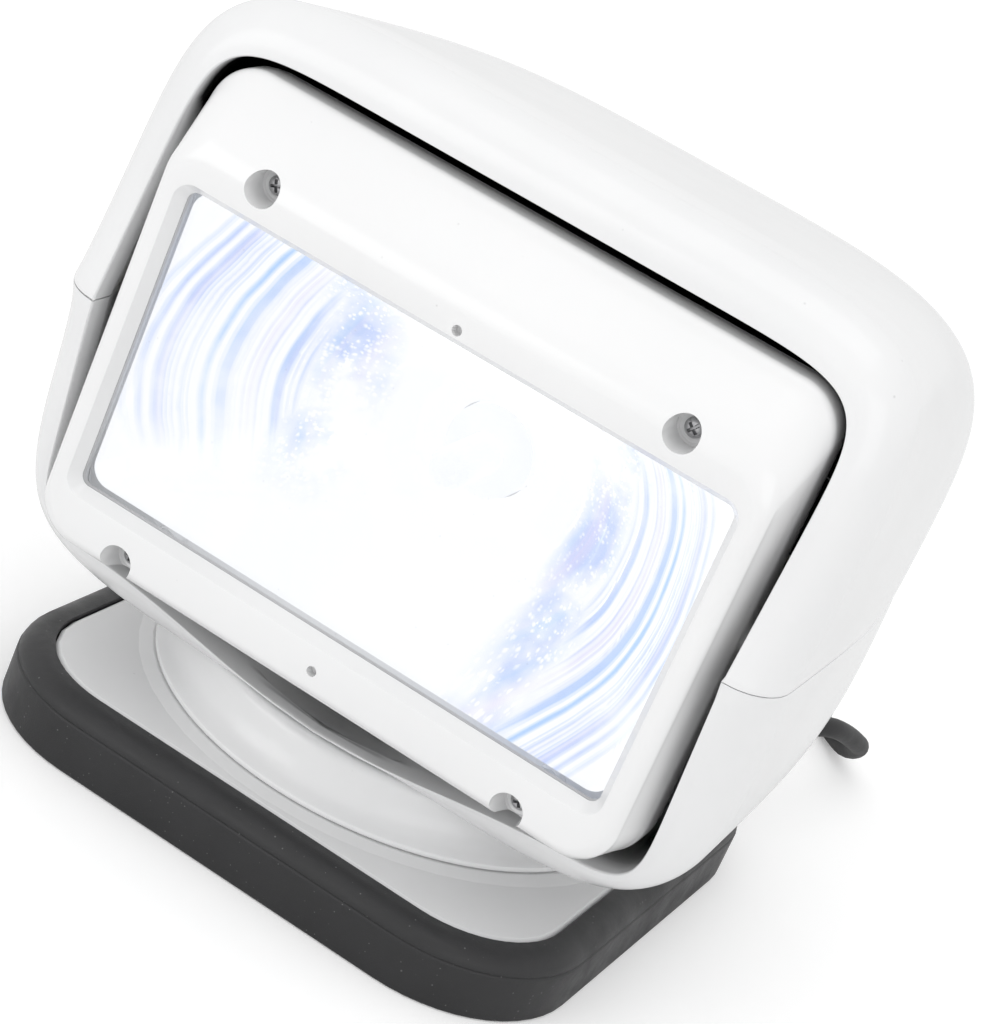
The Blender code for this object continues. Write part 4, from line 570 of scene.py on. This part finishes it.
def spaced(points, spacing):
    """Points at even spacing on a Catmull-Rom curve through the given points."""
    points = np.array(points, dtype=float)
    padded = np.vstack([2 * points[0] - points[1], points, 2 * points[-1] - points[-2]])
    t = np.linspace(0, 1, 40, endpoint=False)[:, None]
    before, start, end, after = padded[:-3], padded[1:-2], padded[2:-1], padded[3:]
    pieces = 0.5 * (2 * start[:, None] + (end - before)[:, None] * t
                    + (2 * before - 5 * start + 4 * end - after)[:, None] * t ** 2
                    + (3 * start - before - 3 * end + after)[:, None] * t ** 3)
    fine = np.vstack([pieces.reshape(-1, 3), points[-1:]])
    lengths = np.concatenate([[0.0], np.cumsum(np.linalg.norm(np.diff(fine, axis=0), axis=1))])
    wanted = np.linspace(0, lengths[-1], max(2, int(round(lengths[-1] / spacing)) + 1))
    return np.stack([np.interp(wanted, lengths, fine[:, axis]) for axis in range(3)], axis=1)


def swept(name, path, section, finish):
    """A flat section (across, up) carried along a path in the plane square to it.

    The section's up axis is the world's up made square to the path, or X where the path itself is upright.
    """
    tangent = np.gradient(path, axis=0)
    tangent /= np.linalg.norm(tangent, axis=1, keepdims=True)
    guide = np.where(np.abs(tangent[:, 2:]) > 0.98, [[1.0, 0.0, 0.0]], [[0.0, 0.0, 1.0]])
    across = np.cross(tangent, guide)
    across /= np.linalg.norm(across, axis=1, keepdims=True)
    up = np.cross(across, tangent)
    rows = path[:, None] + across[:, None] * section[None, :, :1] + up[:, None] * section[None, :, 1:]
    return mesh_from_grid(name, rows, finish, caps=(True, True), smooth=50.0)


def circle(radius):
    turn = np.linspace(0, 2 * np.pi, 16, endpoint=False)
    return np.stack([radius * np.cos(turn), radius * np.sin(turn)], axis=1)


# Lead and plug

def round_coil(radius, azimuth, height):
    """Points round the coil's middle."""
    return np.stack([COIL_CENTRE[0] + radius * np.cos(azimuth), COIL_CENTRE[1] + radius * np.sin(azimuth),
                     height], axis=1)


def coil_points():
    """Centre line of the coil: flat spirals, in and out by turns, each a layer higher than the last.

    A turn keeps its radius for three quarters and moves to its neighbour in the last quarter; a layer's last
    turn climbs there instead. The free end swings out past the outer turn and comes down beside it.
    """
    turns = len(COIL_RADII) * COIL_LAYERS
    order = np.array([COIL_RADII[::-1] if layer % 2 else COIL_RADII for layer in range(COIL_LAYERS)]).ravel()
    levels = FLOOR_LEVEL + 2 * CORD_RADIUS * (np.arange(turns) // len(COIL_RADII))
    t = np.arange(0, turns, 1 / 28)
    index = t.astype(int)
    following = np.minimum(index + 1, turns - 1)
    move = eased(rising(t - index, 0.75, 1.0))
    radius = order[index] * (1 - move) + order[following] * move
    height = levels[index] * (1 - move) + levels[following] * move
    azimuth = np.radians(COIL_START) + 2 * np.pi * t
    free = np.linspace(0, 1, 12)[1:]
    swing = eased(rising(free, 0.0, 0.45))
    drop = eased(rising(free, 0.25, 1.0))
    radius = np.concatenate([radius, COIL_RADII[0] + 2.1 * CORD_RADIUS * swing])
    height = np.concatenate([height, levels[-1] + (FLOOR_LEVEL - levels[-1]) * drop])
    azimuth = np.concatenate([azimuth, np.radians(COIL_START + (COIL_END - COIL_START) * free)])
    return round_coil(radius, azimuth, height)


def make_lead():
    """The whole lead in one tube, with its sleeve, coil ties and plug."""
    runs = (0.0, 0.5 * RELIEF_OUTSIDE, RELIEF_OUTSIDE, RELIEF_OUTSIDE + LEAD_RUN)
    start = [OUTLET_MOUTH + OUTLET_DIRECTION * run for run in runs]
    route = spaced([*start, *LEAD_KNOTS, *coil_points(), *TAIL_KNOTS], 0.0040)
    lead = swept("power_lead", route, circle(CORD_RADIUS), "cord")
    sleeve = make_relief()
    plug = make_plug()
    ties = [make_tie(f"coil_tie_{number}", azimuth) for number, azimuth in ((1, 10.0), (2, 205.0))]
    for piece in (lead, sleeve, *plug, *ties):
        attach(piece, "base")
    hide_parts("lead", "lead_coil", "lead_tail")
    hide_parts("strain_relief")
    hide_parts("plug_body")
    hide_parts("plug_nose")
    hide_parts("plug_contact")


def make_relief():
    """Tapered sleeve with grooves round it."""
    length = RELIEF_INSIDE + RELIEF_OUTSIDE
    height = np.linspace(0, length, 140)
    taper = RELIEF_RADIUS + (CORD_RADIUS + 0.0007 - RELIEF_RADIUS) * (height / length)
    start, pitch, depth = 0.0160, 0.0042, 0.00055
    groove = np.clip(np.sin(2 * np.pi * (height - start) / pitch) * 1.6 - 0.6, 0, 1)
    radius = taper - (height > start) * (height < length - 0.006) * depth * groove
    profile = np.stack([radius, height], axis=1)
    end = length + 0.0006
    profile = np.vstack([[0.0005, 0.0], profile, [CORD_RADIUS + 0.0002, end], [0.0005, end]])
    return turned("lead_sleeve", profile, "cord", steps=32, along=OUTLET_DIRECTION,
                  place=OUTLET_MOUTH - OUTLET_DIRECTION * RELIEF_INSIDE)


def make_tie(name, azimuth):
    """A flat strap round the bundle of turns: a rounded oblong path and a thin section."""
    turn = np.linspace(0, 2 * np.pi, 64, endpoint=False)
    half_width = (COIL_RADII[0] - COIL_RADII[-1]) / 2 + CORD_RADIUS + 0.0006
    half_height = CORD_RADIUS * COIL_LAYERS + 0.0002
    out, up = superellipse(turn, half_width, half_height, 2 / 0.45)
    angle = math.radians(azimuth)
    path = round_coil((COIL_RADII[0] + COIL_RADII[-1]) / 2 + out, angle, up + half_height + TIE_THICKNESS)
    side = TIE_HALF_WIDTH * np.array((-math.sin(angle), math.cos(angle), 0.0))
    inward = path - path.mean(axis=0)
    inward /= np.linalg.norm(inward, axis=1, keepdims=True)
    inner = path + inward * TIE_THICKNESS
    rows = np.stack([path + side, path - side, inner - side, inner + side], axis=1)
    return mesh_from_grid(name, rows, "cord", ring=True, smooth=50.0)


def make_plug():
    """Accessory plug: fluted grip, nose with a side spring, and a brass centre contact."""
    along = (0.0, 1.0, 0.0)
    body = turned("plug_grip", PLUG_GRIP, "cord", steps=120, place=PLUG_END, along=along,
                  fluting=(20, 0.0007, 0.0205, 0.0470), smooth=60.0)
    nose = turned("plug_sleeve", PLUG_NOSE, "cord", steps=48, place=PLUG_END, along=along)
    contact = turned("plug_tip", PLUG_TIP, "brass", steps=24, place=PLUG_END, along=along)
    section = np.array([(-1, -1), (1, -1), (1, 1), (-1, 1)]) * PLUG_SPRING_SECTION
    spring = swept("plug_spring", spaced(PLUG_SPRING, 0.0006) + np.array(PLUG_END), section, "brass")
    return [body, nose, contact, spring]


# Housing

def superellipse(angle, half_width, half_height, power):
    """Rounded oblong: each coordinate is its half size times the cosine or sine to the power 2 / power."""
    across = np.sign(np.cos(angle)) * np.abs(np.cos(angle)) ** (2 / power)
    up = np.sign(np.sin(angle)) * np.abs(np.sin(angle)) ** (2 / power)
    return half_width * across, half_height * up


def outline_angles(half_height, power):
    """Angles from 0 to half a turn at even spacing along the outline, with extra ones by the seam."""
    dense = np.linspace(0, 1, 6000) ** 4 * np.pi / 2
    dense = np.unique(np.concatenate([dense, np.pi / 2 - dense]))
    across, up = superellipse(dense, BODY_HALF_WIDTH, half_height, power)
    along = np.concatenate([[0.0], np.cumsum(np.hypot(np.diff(across), np.diff(up)))])
    by_seam = [0.0, 0.0002, 0.0005, 0.0010, 0.0018]
    wanted = np.concatenate([by_seam, np.linspace(0.0030, along[-1], OUTLINE_STEPS)])
    quarter = np.interp(wanted, along, dense)
    return np.concatenate([quarter, np.pi - quarter[::-1][1:]])


def mouth_outline(angle):
    """Edge of the mouth: an oblong whose corners are squarer below than above, less a dip in the lip.

    The dip is a raised cosine over its reach.
    """
    upper = superellipse(angle, MOUTH_HALF_WIDTH, MOUTH_RISE, MOUTH_UPPER_POWER)
    lower = superellipse(angle, MOUTH_HALF_WIDTH, MOUTH_DROP, MOUTH_LOWER_POWER)
    above = np.sin(angle) >= 0
    across, up = np.where(above, upper, lower)
    dip = LIP_DIP * 0.5 * (1 + np.cos(np.pi * np.clip(across / LIP_DIP_REACH, -1, 1)))
    return across, up - np.where(above, 0.0, np.sqrt(np.abs(np.sin(angle))) * dip)


def mouth_depth(up):
    """The mouth's edge stands furthest forward at the seam and falls back above and below it."""
    return -MOUTH_FRONT + MOUTH_RAKE * np.abs(up)


def falling(share, power):
    """How a size falls off over a share: one minus the share's power, and its root."""
    return (1 - share ** power) ** (1 / power)


def body_outline(angle, share, wall):
    """Section of the housing at a share of its depth."""
    width = (BODY_HALF_WIDTH - wall) * falling(share, PLAN_POWER)
    rise = (BODY_RISE - wall - ROOF_FALL * share) * falling(share, ROOF_REAR_POWER)
    drop = (BODY_DROP - wall - BELLY_RISE * share) * falling(share, BELLY_REAR_POWER)
    upper = superellipse(angle, width, rise, ROOF_POWER - ROOF_POWER_LOSS * share)
    lower = superellipse(angle, width, drop, BELLY_POWER - BELLY_POWER_LOSS * share)
    return np.where(np.sin(angle) >= 0, upper, lower)


def body_shares():
    """Shares of the depth that give even steps in plan width, from the band to the middle of the back."""
    width = np.cos(np.linspace(0, np.pi / 2, DEPTH_STEPS + 1)[1:]) ** (2 / PLAN_POWER)
    return np.clip(falling(width, PLAN_POWER), 0, 1)


def skin_rows(angle, wall, shares):
    """Stations of a housing skin behind the band, at a wall's thickness inside the outer one."""
    share = shares[:, None]
    across, up = body_outline(angle[None, :], share, wall)
    start = mouth_depth(mouth_outline(angle)[1])[None, :] + BAND_DEPTH
    depth = start + (REAR_REACH - wall - start) * share
    return np.stack([across, depth, up], axis=-1)


def band_rows(angle, count):
    """Rounded band round the mouth: a small edge rounding, then a quarter ellipse out to the body."""
    across, up = mouth_outline(angle)
    wider, higher = body_outline(angle, np.zeros_like(angle), 0.0) - (across, up)

    def stations(share, back):
        return np.stack([across + wider * share, mouth_depth(up) + back, up + higher * share], axis=-1)

    edge = np.linspace(0, np.pi / 2, 6)[:-1, None]
    turn = np.linspace(0, np.pi / 2, count)[2:, None]
    share = 0.6 * MOUTH_EDGE_ROUNDING / np.hypot(wider, higher) * (1 - np.cos(edge))
    return np.concatenate([stations(share, MOUTH_EDGE_ROUNDING * (1 - np.sin(edge))),
                           stations(np.sin(turn), BAND_DEPTH * (1 - np.cos(turn)))])


def shell_half(name, angle, lower):
    """One half of the housing: inner skin from back to mouth, band, outer skin from mouth to back.

    At the seam the wall is closed by a strip between both skins.
    """
    shares = body_shares()
    outer = np.concatenate([band_rows(angle, 16), skin_rows(angle, 0.0, shares)])
    inner_body = skin_rows(angle, HOUSING_WALL, shares[::-1])
    across, up = mouth_outline(angle)
    throat_depth = np.linspace(THROAT_DEPTH, MOUTH_EDGE_ROUNDING, len(outer) - len(inner_body))[:, None]
    throat = np.stack(np.broadcast_arrays(across, mouth_depth(up) + throat_depth, up), axis=-1)
    inner = np.concatenate([inner_body, throat])
    rows = ease_seam(np.concatenate([inner, outer]), len(inner))
    rows[..., 2] += SEAM_HEIGHT + (-SEAM_GAP if lower else SEAM_GAP) / 2
    if lower:
        sink_floor(rows[:len(inner)])
    stations, count = rows.shape[:2]
    near = np.arange(len(inner) - 1)
    joined = np.stack([near, near + 1, stations - 2 - near, stations - 1 - near], axis=-1)
    strips = np.concatenate([joined * count + edge for edge in (0, count - 1)])
    # Painted shade on the inner skin only, none on the band or outer skin
    inside = painted_inner_shade(rows) * (np.arange(stations) < len(inner))[:, None]
    return mesh_from_grid(name, rows, "shell", around=False, strips=strips, inside=inside)


def ease_seam(rows, inner_count):
    """Draw the outer skin in by a depth that fades with the square of the height over the seam."""
    path_step = np.gradient(rows[:, :, :2], axis=0)
    square = np.stack([-path_step[..., 1], path_step[..., 0]], axis=-1)
    square /= np.maximum(np.linalg.norm(square, axis=-1, keepdims=True), 1e-9)
    outward = np.sign(np.sum(square * rows[..., :2], axis=-1, keepdims=True))
    ease = SEAM_EASE * rising(np.abs(rows[..., 2:]), SEAM_EASE_HEIGHT, 0.0) ** 2
    on_outer = (np.arange(len(rows)) >= inner_count)[:, None, None]
    rows[..., :2] -= square * outward * ease * on_outer
    return rows


def painted_inner_shade(rows):
    """Share of painted shade inside the housing, standing in for the shade deep within it, from just behind
    the mouth inwards.

    It comes on more slowly below the roof, and the bowl between the cheeks stays pale.
    """
    side = rising(rows[..., 2], 0.182, 0.167)
    behind = rows[..., 1] - mouth_depth(rows[..., 2] - SEAM_HEIGHT)
    deep = rising(behind, 0.0020 + 0.0020 * side, 0.0060 + 0.0180 * side)
    bowl = rising(rows[..., 2], 0.070, 0.060) * rising(np.abs(rows[..., 0]), 0.092, 0.082)
    return deep * (1 - BOWL_PALENESS * bowl)


def sink_floor(inner):
    """Bring the inner skin's floor to the flat deck over the neck, within its radius."""
    radius = np.hypot(inner[..., 0], inner[..., 1])
    share = eased(rising(radius, DECK_RADIUS + 0.001, DECK_RADIUS - 0.002)) * (inner[..., 2] < 0.075)
    inner[..., 2] += (DECK_TOP - inner[..., 2]) * share


def belly_height(across, depth):
    """Height of the housing's outer skin under a place: its share of the depth gives the section there."""
    start = -MOUTH_FRONT + MOUTH_RAKE * MOUTH_DROP + BAND_DEPTH
    share = np.minimum(rising(depth, start, REAR_REACH), 0.99)
    drop = (BODY_DROP - BELLY_RISE * share) * falling(share, BELLY_REAR_POWER)
    out = np.clip(np.abs(across) / (BODY_HALF_WIDTH * falling(share, PLAN_POWER)), 0, 1)
    return SEAM_HEIGHT - drop * falling(out, BELLY_POWER - BELLY_POWER_LOSS * share)


def make_neck():
    """Neck and foot ring, turned; its top ends inside the housing's wall, wherever the belly is."""
    neck = turned("neck_skin", NECK_PROFILE, "shell", steps=192, closed=True)
    for point in neck.data.vertices:
        point.co.z = min(point.co.z, belly_height(point.co.x, point.co.y) + HOUSING_WALL / 2)
    neck.data.update()
    return neck


def make_housing():
    """Hood and lower shell, fine-meshed from the outlines' own formulas, and the neck with its foot."""
    hood = shell_half("hood_skin", outline_angles(BODY_RISE, ROOF_POWER), lower=False)
    lower = shell_half("lower_skin", -outline_angles(BODY_DROP, BELLY_POWER)[::-1], lower=True)
    neck = make_neck()
    for piece in (hood, lower, neck):
        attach(piece, "housing")
    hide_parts("upper_hood")
    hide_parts("lower_shell")
    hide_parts("lower_shell")


# Base

def rounded_outline(half_width, low, high, corner, side=10, bend=14):
    """Rounded rectangle: corner arcs joined by sides, counter-clockwise from the lower right corner."""
    turn = np.linspace(0, np.pi / 2, bend)
    centres = np.array([(half_width - corner, low + corner), (half_width - corner, high - corner),
                        (corner - half_width, high - corner), (corner - half_width, low + corner)])
    starts = np.array([-np.pi / 2, 0.0, np.pi / 2, np.pi])
    angles = starts[:, None] + turn
    arcs = centres[:, None] + corner * np.stack([np.cos(angles), np.sin(angles)], axis=-1)
    following = np.roll(arcs[:, 0], -1, axis=0)
    share = np.linspace(0, 1, side + 1)[1:-1, None]
    sides = arcs[:, -1][:, None] + (following - arcs[:, -1])[:, None] * share
    return np.concatenate([arcs, sides], axis=1).reshape(-1, 2)


def flat_station(height, half_width, half_depth, corner):
    outline = rounded_outline(half_width, -half_depth, half_depth, corner)
    return np.column_stack([outline, np.full(len(outline), height)])


def make_boot():
    """Rubber boot: rounded foot edge, upright side with a parting line, convex slope up to the plate."""
    slope = BOOT_SLOPE_SHARE * (BOOT_HALF_WIDTH - PLATE_HALF - PARTING_GROOVE)
    climb = BOOT_HEIGHT - BOOT_PARTING
    step = PARTING_GROOVE + 0.0001
    stations = [(0.0, 0.0030)]
    stations += [(BOOT_EDGE * (1 - math.cos(turn)), BOOT_EDGE * (1 - math.sin(turn)))
                 for turn in np.linspace(0, math.pi / 2, 6)]
    stations += [(0.0070, 0.0), (BOOT_PARTING - 0.0007, 0.0), (BOOT_PARTING - PARTING_GROOVE, 0.0001),
                 (BOOT_PARTING, step + 0.0001), (BOOT_PARTING + PARTING_GROOVE, step)]
    stations += [(BOOT_PARTING + climb * math.sin(turn), step + slope * (1 - math.cos(turn)))
                 for turn in np.linspace(0.12, math.pi / 2, 12)]
    rows = [flat_station(height, BOOT_HALF_WIDTH - inset, BOOT_HALF_DEPTH - inset, BOOT_CORNER - inset)
            for height, inset in stations]
    recess = [(BOOT_HEIGHT, 0.0006), (BOOT_HEIGHT - 0.0003, 0.0003), (BOOT_FLOOR, 0.0003)]
    rows += [flat_station(height, PLATE_HALF + grow, PLATE_HALF + grow, PLATE_CORNER + grow)
             for height, grow in recess]
    boot = mesh_from_grid("boot_skin", np.array(rows), "boot", caps=(True, True), smooth=40.0)
    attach(boot, "base")
    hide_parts("rubber_boot")


# Lamp head

def head_station(half_width, low, high, depth, corner):
    outline = rounded_outline(half_width, low, high, corner, side=24, bend=16)
    return np.column_stack([outline[:, 0], np.full(len(outline), -depth), outline[:, 1]])


def window_station(grow, depth):
    half_height = WINDOW_HALF_HEIGHT + grow
    return head_station(WINDOW_HALF_WIDTH + grow, WINDOW_HEIGHT - half_height, WINDOW_HEIGHT + half_height,
                        depth, WINDOW_CORNER + grow)


def make_front_frame():
    """Face border, sloping brow and window recess in one closed ring of stations, with bored pockets.

    From the back edge the stations run forward over the sides and brow, round the face's edge, across the
    face to the window, back down its sloping recess, out behind the glass and back along the inside wall.
    """
    half, low, high, ease = HEAD_HALF_WIDTH, HEAD_BOTTOM, HEAD_TOP, FRAME_EASE
    rows = [head_station(half - ease, low + ease, high - ease, HEAD_BACK, HEAD_CORNER),
            head_station(half, low, high, HEAD_BACK + ease, HEAD_CORNER),
            head_station(half, low, high, SHOULDER_START - 0.0005, HEAD_CORNER)]
    for share in np.linspace(0.1, 1.0, 7):
        fall = share * share
        rows.append(head_station(half - ease * fall, low + ease * fall, high - SHOULDER_FALL * fall,
                                 SHOULDER_START + (BROW_START - SHOULDER_START) * share, HEAD_CORNER))
    half, low, high, corner = half - ease, low + ease, high - SHOULDER_FALL, HEAD_CORNER
    brow_fall = BROW_DROP - BROW_TURN
    for share in np.linspace(0.12, 1.0, 8):
        rows.append(head_station(half - BORDER_TAPER * share, low + BORDER_LIFT * share,
                                 high - brow_fall * share, BROW_START + BROW_DEPTH * share,
                                 corner - 0.0010 * share))
    half, low, high, corner = half - BORDER_TAPER, low + BORDER_LIFT, high - brow_fall, corner - 0.0010
    straight = FACE_ROUNDING * brow_fall / BROW_DEPTH
    for turn in np.linspace(0.1, np.pi / 2, 14):
        bend = 1 - math.cos(turn)
        brow = high - straight * math.sin(turn) - (BROW_TURN - straight) * bend
        depth = BROW_START + BROW_DEPTH + FACE_ROUNDING * math.sin(turn)
        rows.append(head_station(half - FACE_ROUNDING * bend, low + LOWER_ROUNDING * bend, brow, depth,
                                 corner - 0.0030 * bend))
    glass = HEAD_FACE - FACE_THICKNESS
    recess = [(WINDOW_BEVEL + 0.0007, HEAD_FACE), (WINDOW_BEVEL + 0.0003, HEAD_FACE - 0.0001),
              (WINDOW_BEVEL, HEAD_FACE - 0.0005), (0.0003, glass + 0.0004), (0.0, glass), (0.0038, glass),
              (0.0040, 0.0745)]
    rows += [window_station(grow, depth) for grow, depth in recess]
    wall = HEAD_WALL
    half, low, high, corner = HEAD_HALF_WIDTH, HEAD_BOTTOM, HEAD_TOP, HEAD_CORNER - wall
    rows += [head_station(half - 0.0042, low + 0.0040, high - BROW_DROP - wall, 0.0740, 0.0100),
             head_station(half - wall, low + wall, high - 0.0120, BROW_START, corner),
             head_station(half - wall, low + wall, high - wall, HEAD_BACK, corner)]
    ring = mesh_from_grid("face_frame", np.array(rows), "face", ring=True, smooth=32.0)
    bore(ring, [drill(POCKET_RADIUS, 0.0006, 48, (across, -POCKET_FLOOR, up)) for across, up in SCREW_PLACES]
         + [drill(SMALL_HOLE_RADIUS, 0.0, 24, (0.0, SMALL_HOLE_DEPTH - HEAD_FACE, up))
            for up in SMALL_HOLE_HEIGHTS])
    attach(ring, "head")
    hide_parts("front_frame")


def drill(radius, ease, steps, place):
    """A cutter that reaches forward from the floor of its hole, eased at the floor's edge."""
    profile = [(0.0002, 0.0), (radius - ease, 0.0), (radius, ease), (radius, 0.020), (0.0002, 0.020)]
    return turned("drill", profile, "face", steps=steps, place=place, along=(0, -1, 0))


def bore(piece, cutters):
    """Cut the cutters out of a piece and keep the result as its mesh."""
    for cutter in cutters:
        step = piece.modifiers.new("bore", "BOOLEAN")
        step.operation = "DIFFERENCE"
        step.solver = "EXACT"
        step.object = cutter
    ready = piece.evaluated_get(bpy.context.evaluated_depsgraph_get())
    mesh = bpy.data.meshes.new_from_object(ready)
    piece.modifiers.clear()
    piece.data = mesh
    for cutter in cutters:
        bpy.data.objects.remove(cutter, do_unlink=True)
    mesh.shade_smooth()
    mesh.set_sharp_from_angle(angle=math.radians(32.0))


def make_screw_head(number, across, up):
    """Domed cross-head screw: height = dome less a tapering cross recess, on a polar grid.

    The recess is deep near either arm of the cross, within its reach from the middle.
    """
    radius = np.linspace(0, 1, 30)[:, None] * SCREW_HEAD_RADIUS
    turn = np.linspace(0, 2 * np.pi, 72, endpoint=False)[None, :]
    flat_x, flat_z = radius * np.cos(turn), radius * np.sin(turn)
    dome = SCREW_HEAD_HEIGHT * (1 - 0.55 * (radius / SCREW_HEAD_RADIUS) ** 4)
    swing = math.radians(20.0 + 31.0 * number)
    arm_x = flat_x * math.cos(swing) + flat_z * math.sin(swing)
    arm_z = flat_z * math.cos(swing) - flat_x * math.sin(swing)
    offset = np.minimum(np.abs(arm_x), np.abs(arm_z))
    recess = rising(offset, 0.00042, 0.00030) * rising(radius, 0.00185, 0.00150)
    height = dome - CROSS_DEPTH * recess
    floor = -POCKET_FLOOR - 0.0002
    top = np.stack([across + flat_x, floor - 0.0001 - height, up + flat_z], axis=-1)
    rim = top[-1:].copy()
    rim[..., 1] = floor
    rows = np.concatenate([top, rim])
    head = mesh_from_grid(f"screw_head_{number + 1}", rows, "steel", caps=(False, True), smooth=40.0)
    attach(head, "head")
    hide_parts(f"face_screw_{number + 1}")


def make_reflector():
    """Bowl from the window's oblong to a round throat, with concentric steps pressed into it.

    Depth follows the share, the section shrinks by a power of what is left of it, and the steps are a
    sawtooth of the distance from the beam's axis.
    """
    shares = np.linspace(0, 1, 90)
    bowl = (1 - shares) ** REFLECTOR_CURVE
    rows = []
    for share, open_part in zip(shares, bowl):
        half_width = REFLECTOR_THROAT + (WINDOW_HALF_WIDTH - REFLECTOR_THROAT) * open_part
        half_height = REFLECTOR_THROAT + (WINDOW_HALF_HEIGHT - REFLECTOR_THROAT) * open_part
        gain = (REFLECTOR_THROAT - REFLECTOR_CORNER) * math.sqrt(share) + 0.02 * share
        corner = min(half_height - 0.0001, REFLECTOR_CORNER + gain)
        rows.append(head_station(half_width, WINDOW_HEIGHT - half_height, WINDOW_HEIGHT + half_height,
                                 REFLECTOR_FRONT + (REFLECTOR_BACK - REFLECTOR_FRONT) * share, corner))
    front = np.array(rows)
    reach = np.hypot(front[..., 0], front[..., 2] - WINDOW_HEIGHT)
    saw = (reach / REFLECTOR_STEP) % 1.0
    front[..., 1] += REFLECTOR_SHEET * saw * (front[..., 1] > -REFLECTOR_FRONT + 0.002)
    back = front[::-1] + np.array((0.0, REFLECTOR_SHEET, 0.0))
    both = np.concatenate([front, back])
    # The bowl's finish is a painted reflection
    bowl_mesh = mesh_from_grid("reflector_bowl", both, "painted_reflection", ring=True, smooth=25.0)
    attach(bowl_mesh, "head")
    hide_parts("reflector")


# Stage and light

def make_floor():
    """Plain pale floor; camera rays get a little extra so that it reads white and keeps its shadow."""
    rows = FLOOR_HALF * np.array([[(-1, -1, 0), (1, -1, 0)], [(-1, 1, 0), (1, 1, 0)]])
    material, shader, _ = new_material("floor_white", Roughness=0.9, Specular_IOR_Level=0.1,
                                       Emission_Color=(1, 1, 1, 1))
    lift = maths("MULTIPLY", node(shader, "LightPath").outputs["Is Camera Ray"], FLOOR_LIFT)
    feed(shader, (0.86, 0.86, 0.86, 1.0), Emission_Strength=lift)
    FINISH["floor"] = material
    floor = mesh_from_grid("floor", rows, "floor", around=False)


def make_world():
    """Even pale surroundings; camera rays, and those through glass, see plain white."""
    world = bpy.data.worlds.new("studio")
    world.use_nodes = True
    tree = world.node_tree
    surround = tree.nodes["Background"]
    fill(surround, {"Color": (1.0, 1.0, 1.0, 1.0), "Strength": SURROUNDINGS})
    white = node(tree, "Background", {"Color": (1.0, 1.0, 1.0, 1.0), "Strength": 1.0})
    path = node(tree, "LightPath")
    seen = maths("MAXIMUM", path.outputs["Is Camera Ray"], path.outputs["Is Transmission Ray"])
    mixed = node(tree, "MixShader", {0: seen, 1: surround.outputs[0], 2: white.outputs[0]})
    tree.links.new(mixed.outputs[0], tree.nodes["World Output"].inputs["Surface"])
    bpy.context.scene.world = world


def make_lamp(name, place, size, power):
    """A square soft lamp that looks at the middle of the object."""
    data = bpy.data.lights.new(name, "AREA")
    data.shape = "SQUARE"
    data.size = size
    data.energy = power
    lamp = bpy.data.objects.new(name, data)
    bpy.context.scene.collection.objects.link(lamp)
    lamp.location = place
    lamp.rotation_euler = (Vector((0.0, 0.0, 0.1)) - Vector(place)).to_track_quat("-Z", "Y").to_euler()


def main():
    make_camera()
    make_lead()
    dress_nodes()
    make_housing()
    make_boot()
    make_front_frame()
    make_reflector()
    for number, (across, up) in enumerate(SCREW_PLACES):
        make_screw_head(number, across, up)
    make_floor()
    make_world()
    for name, (place, size, power) in LAMPS.items():
        make_lamp(name, place, size, power)
    bpy.context.scene.view_settings.view_transform = "Standard"


main()
bpy.context.view_layer.update()
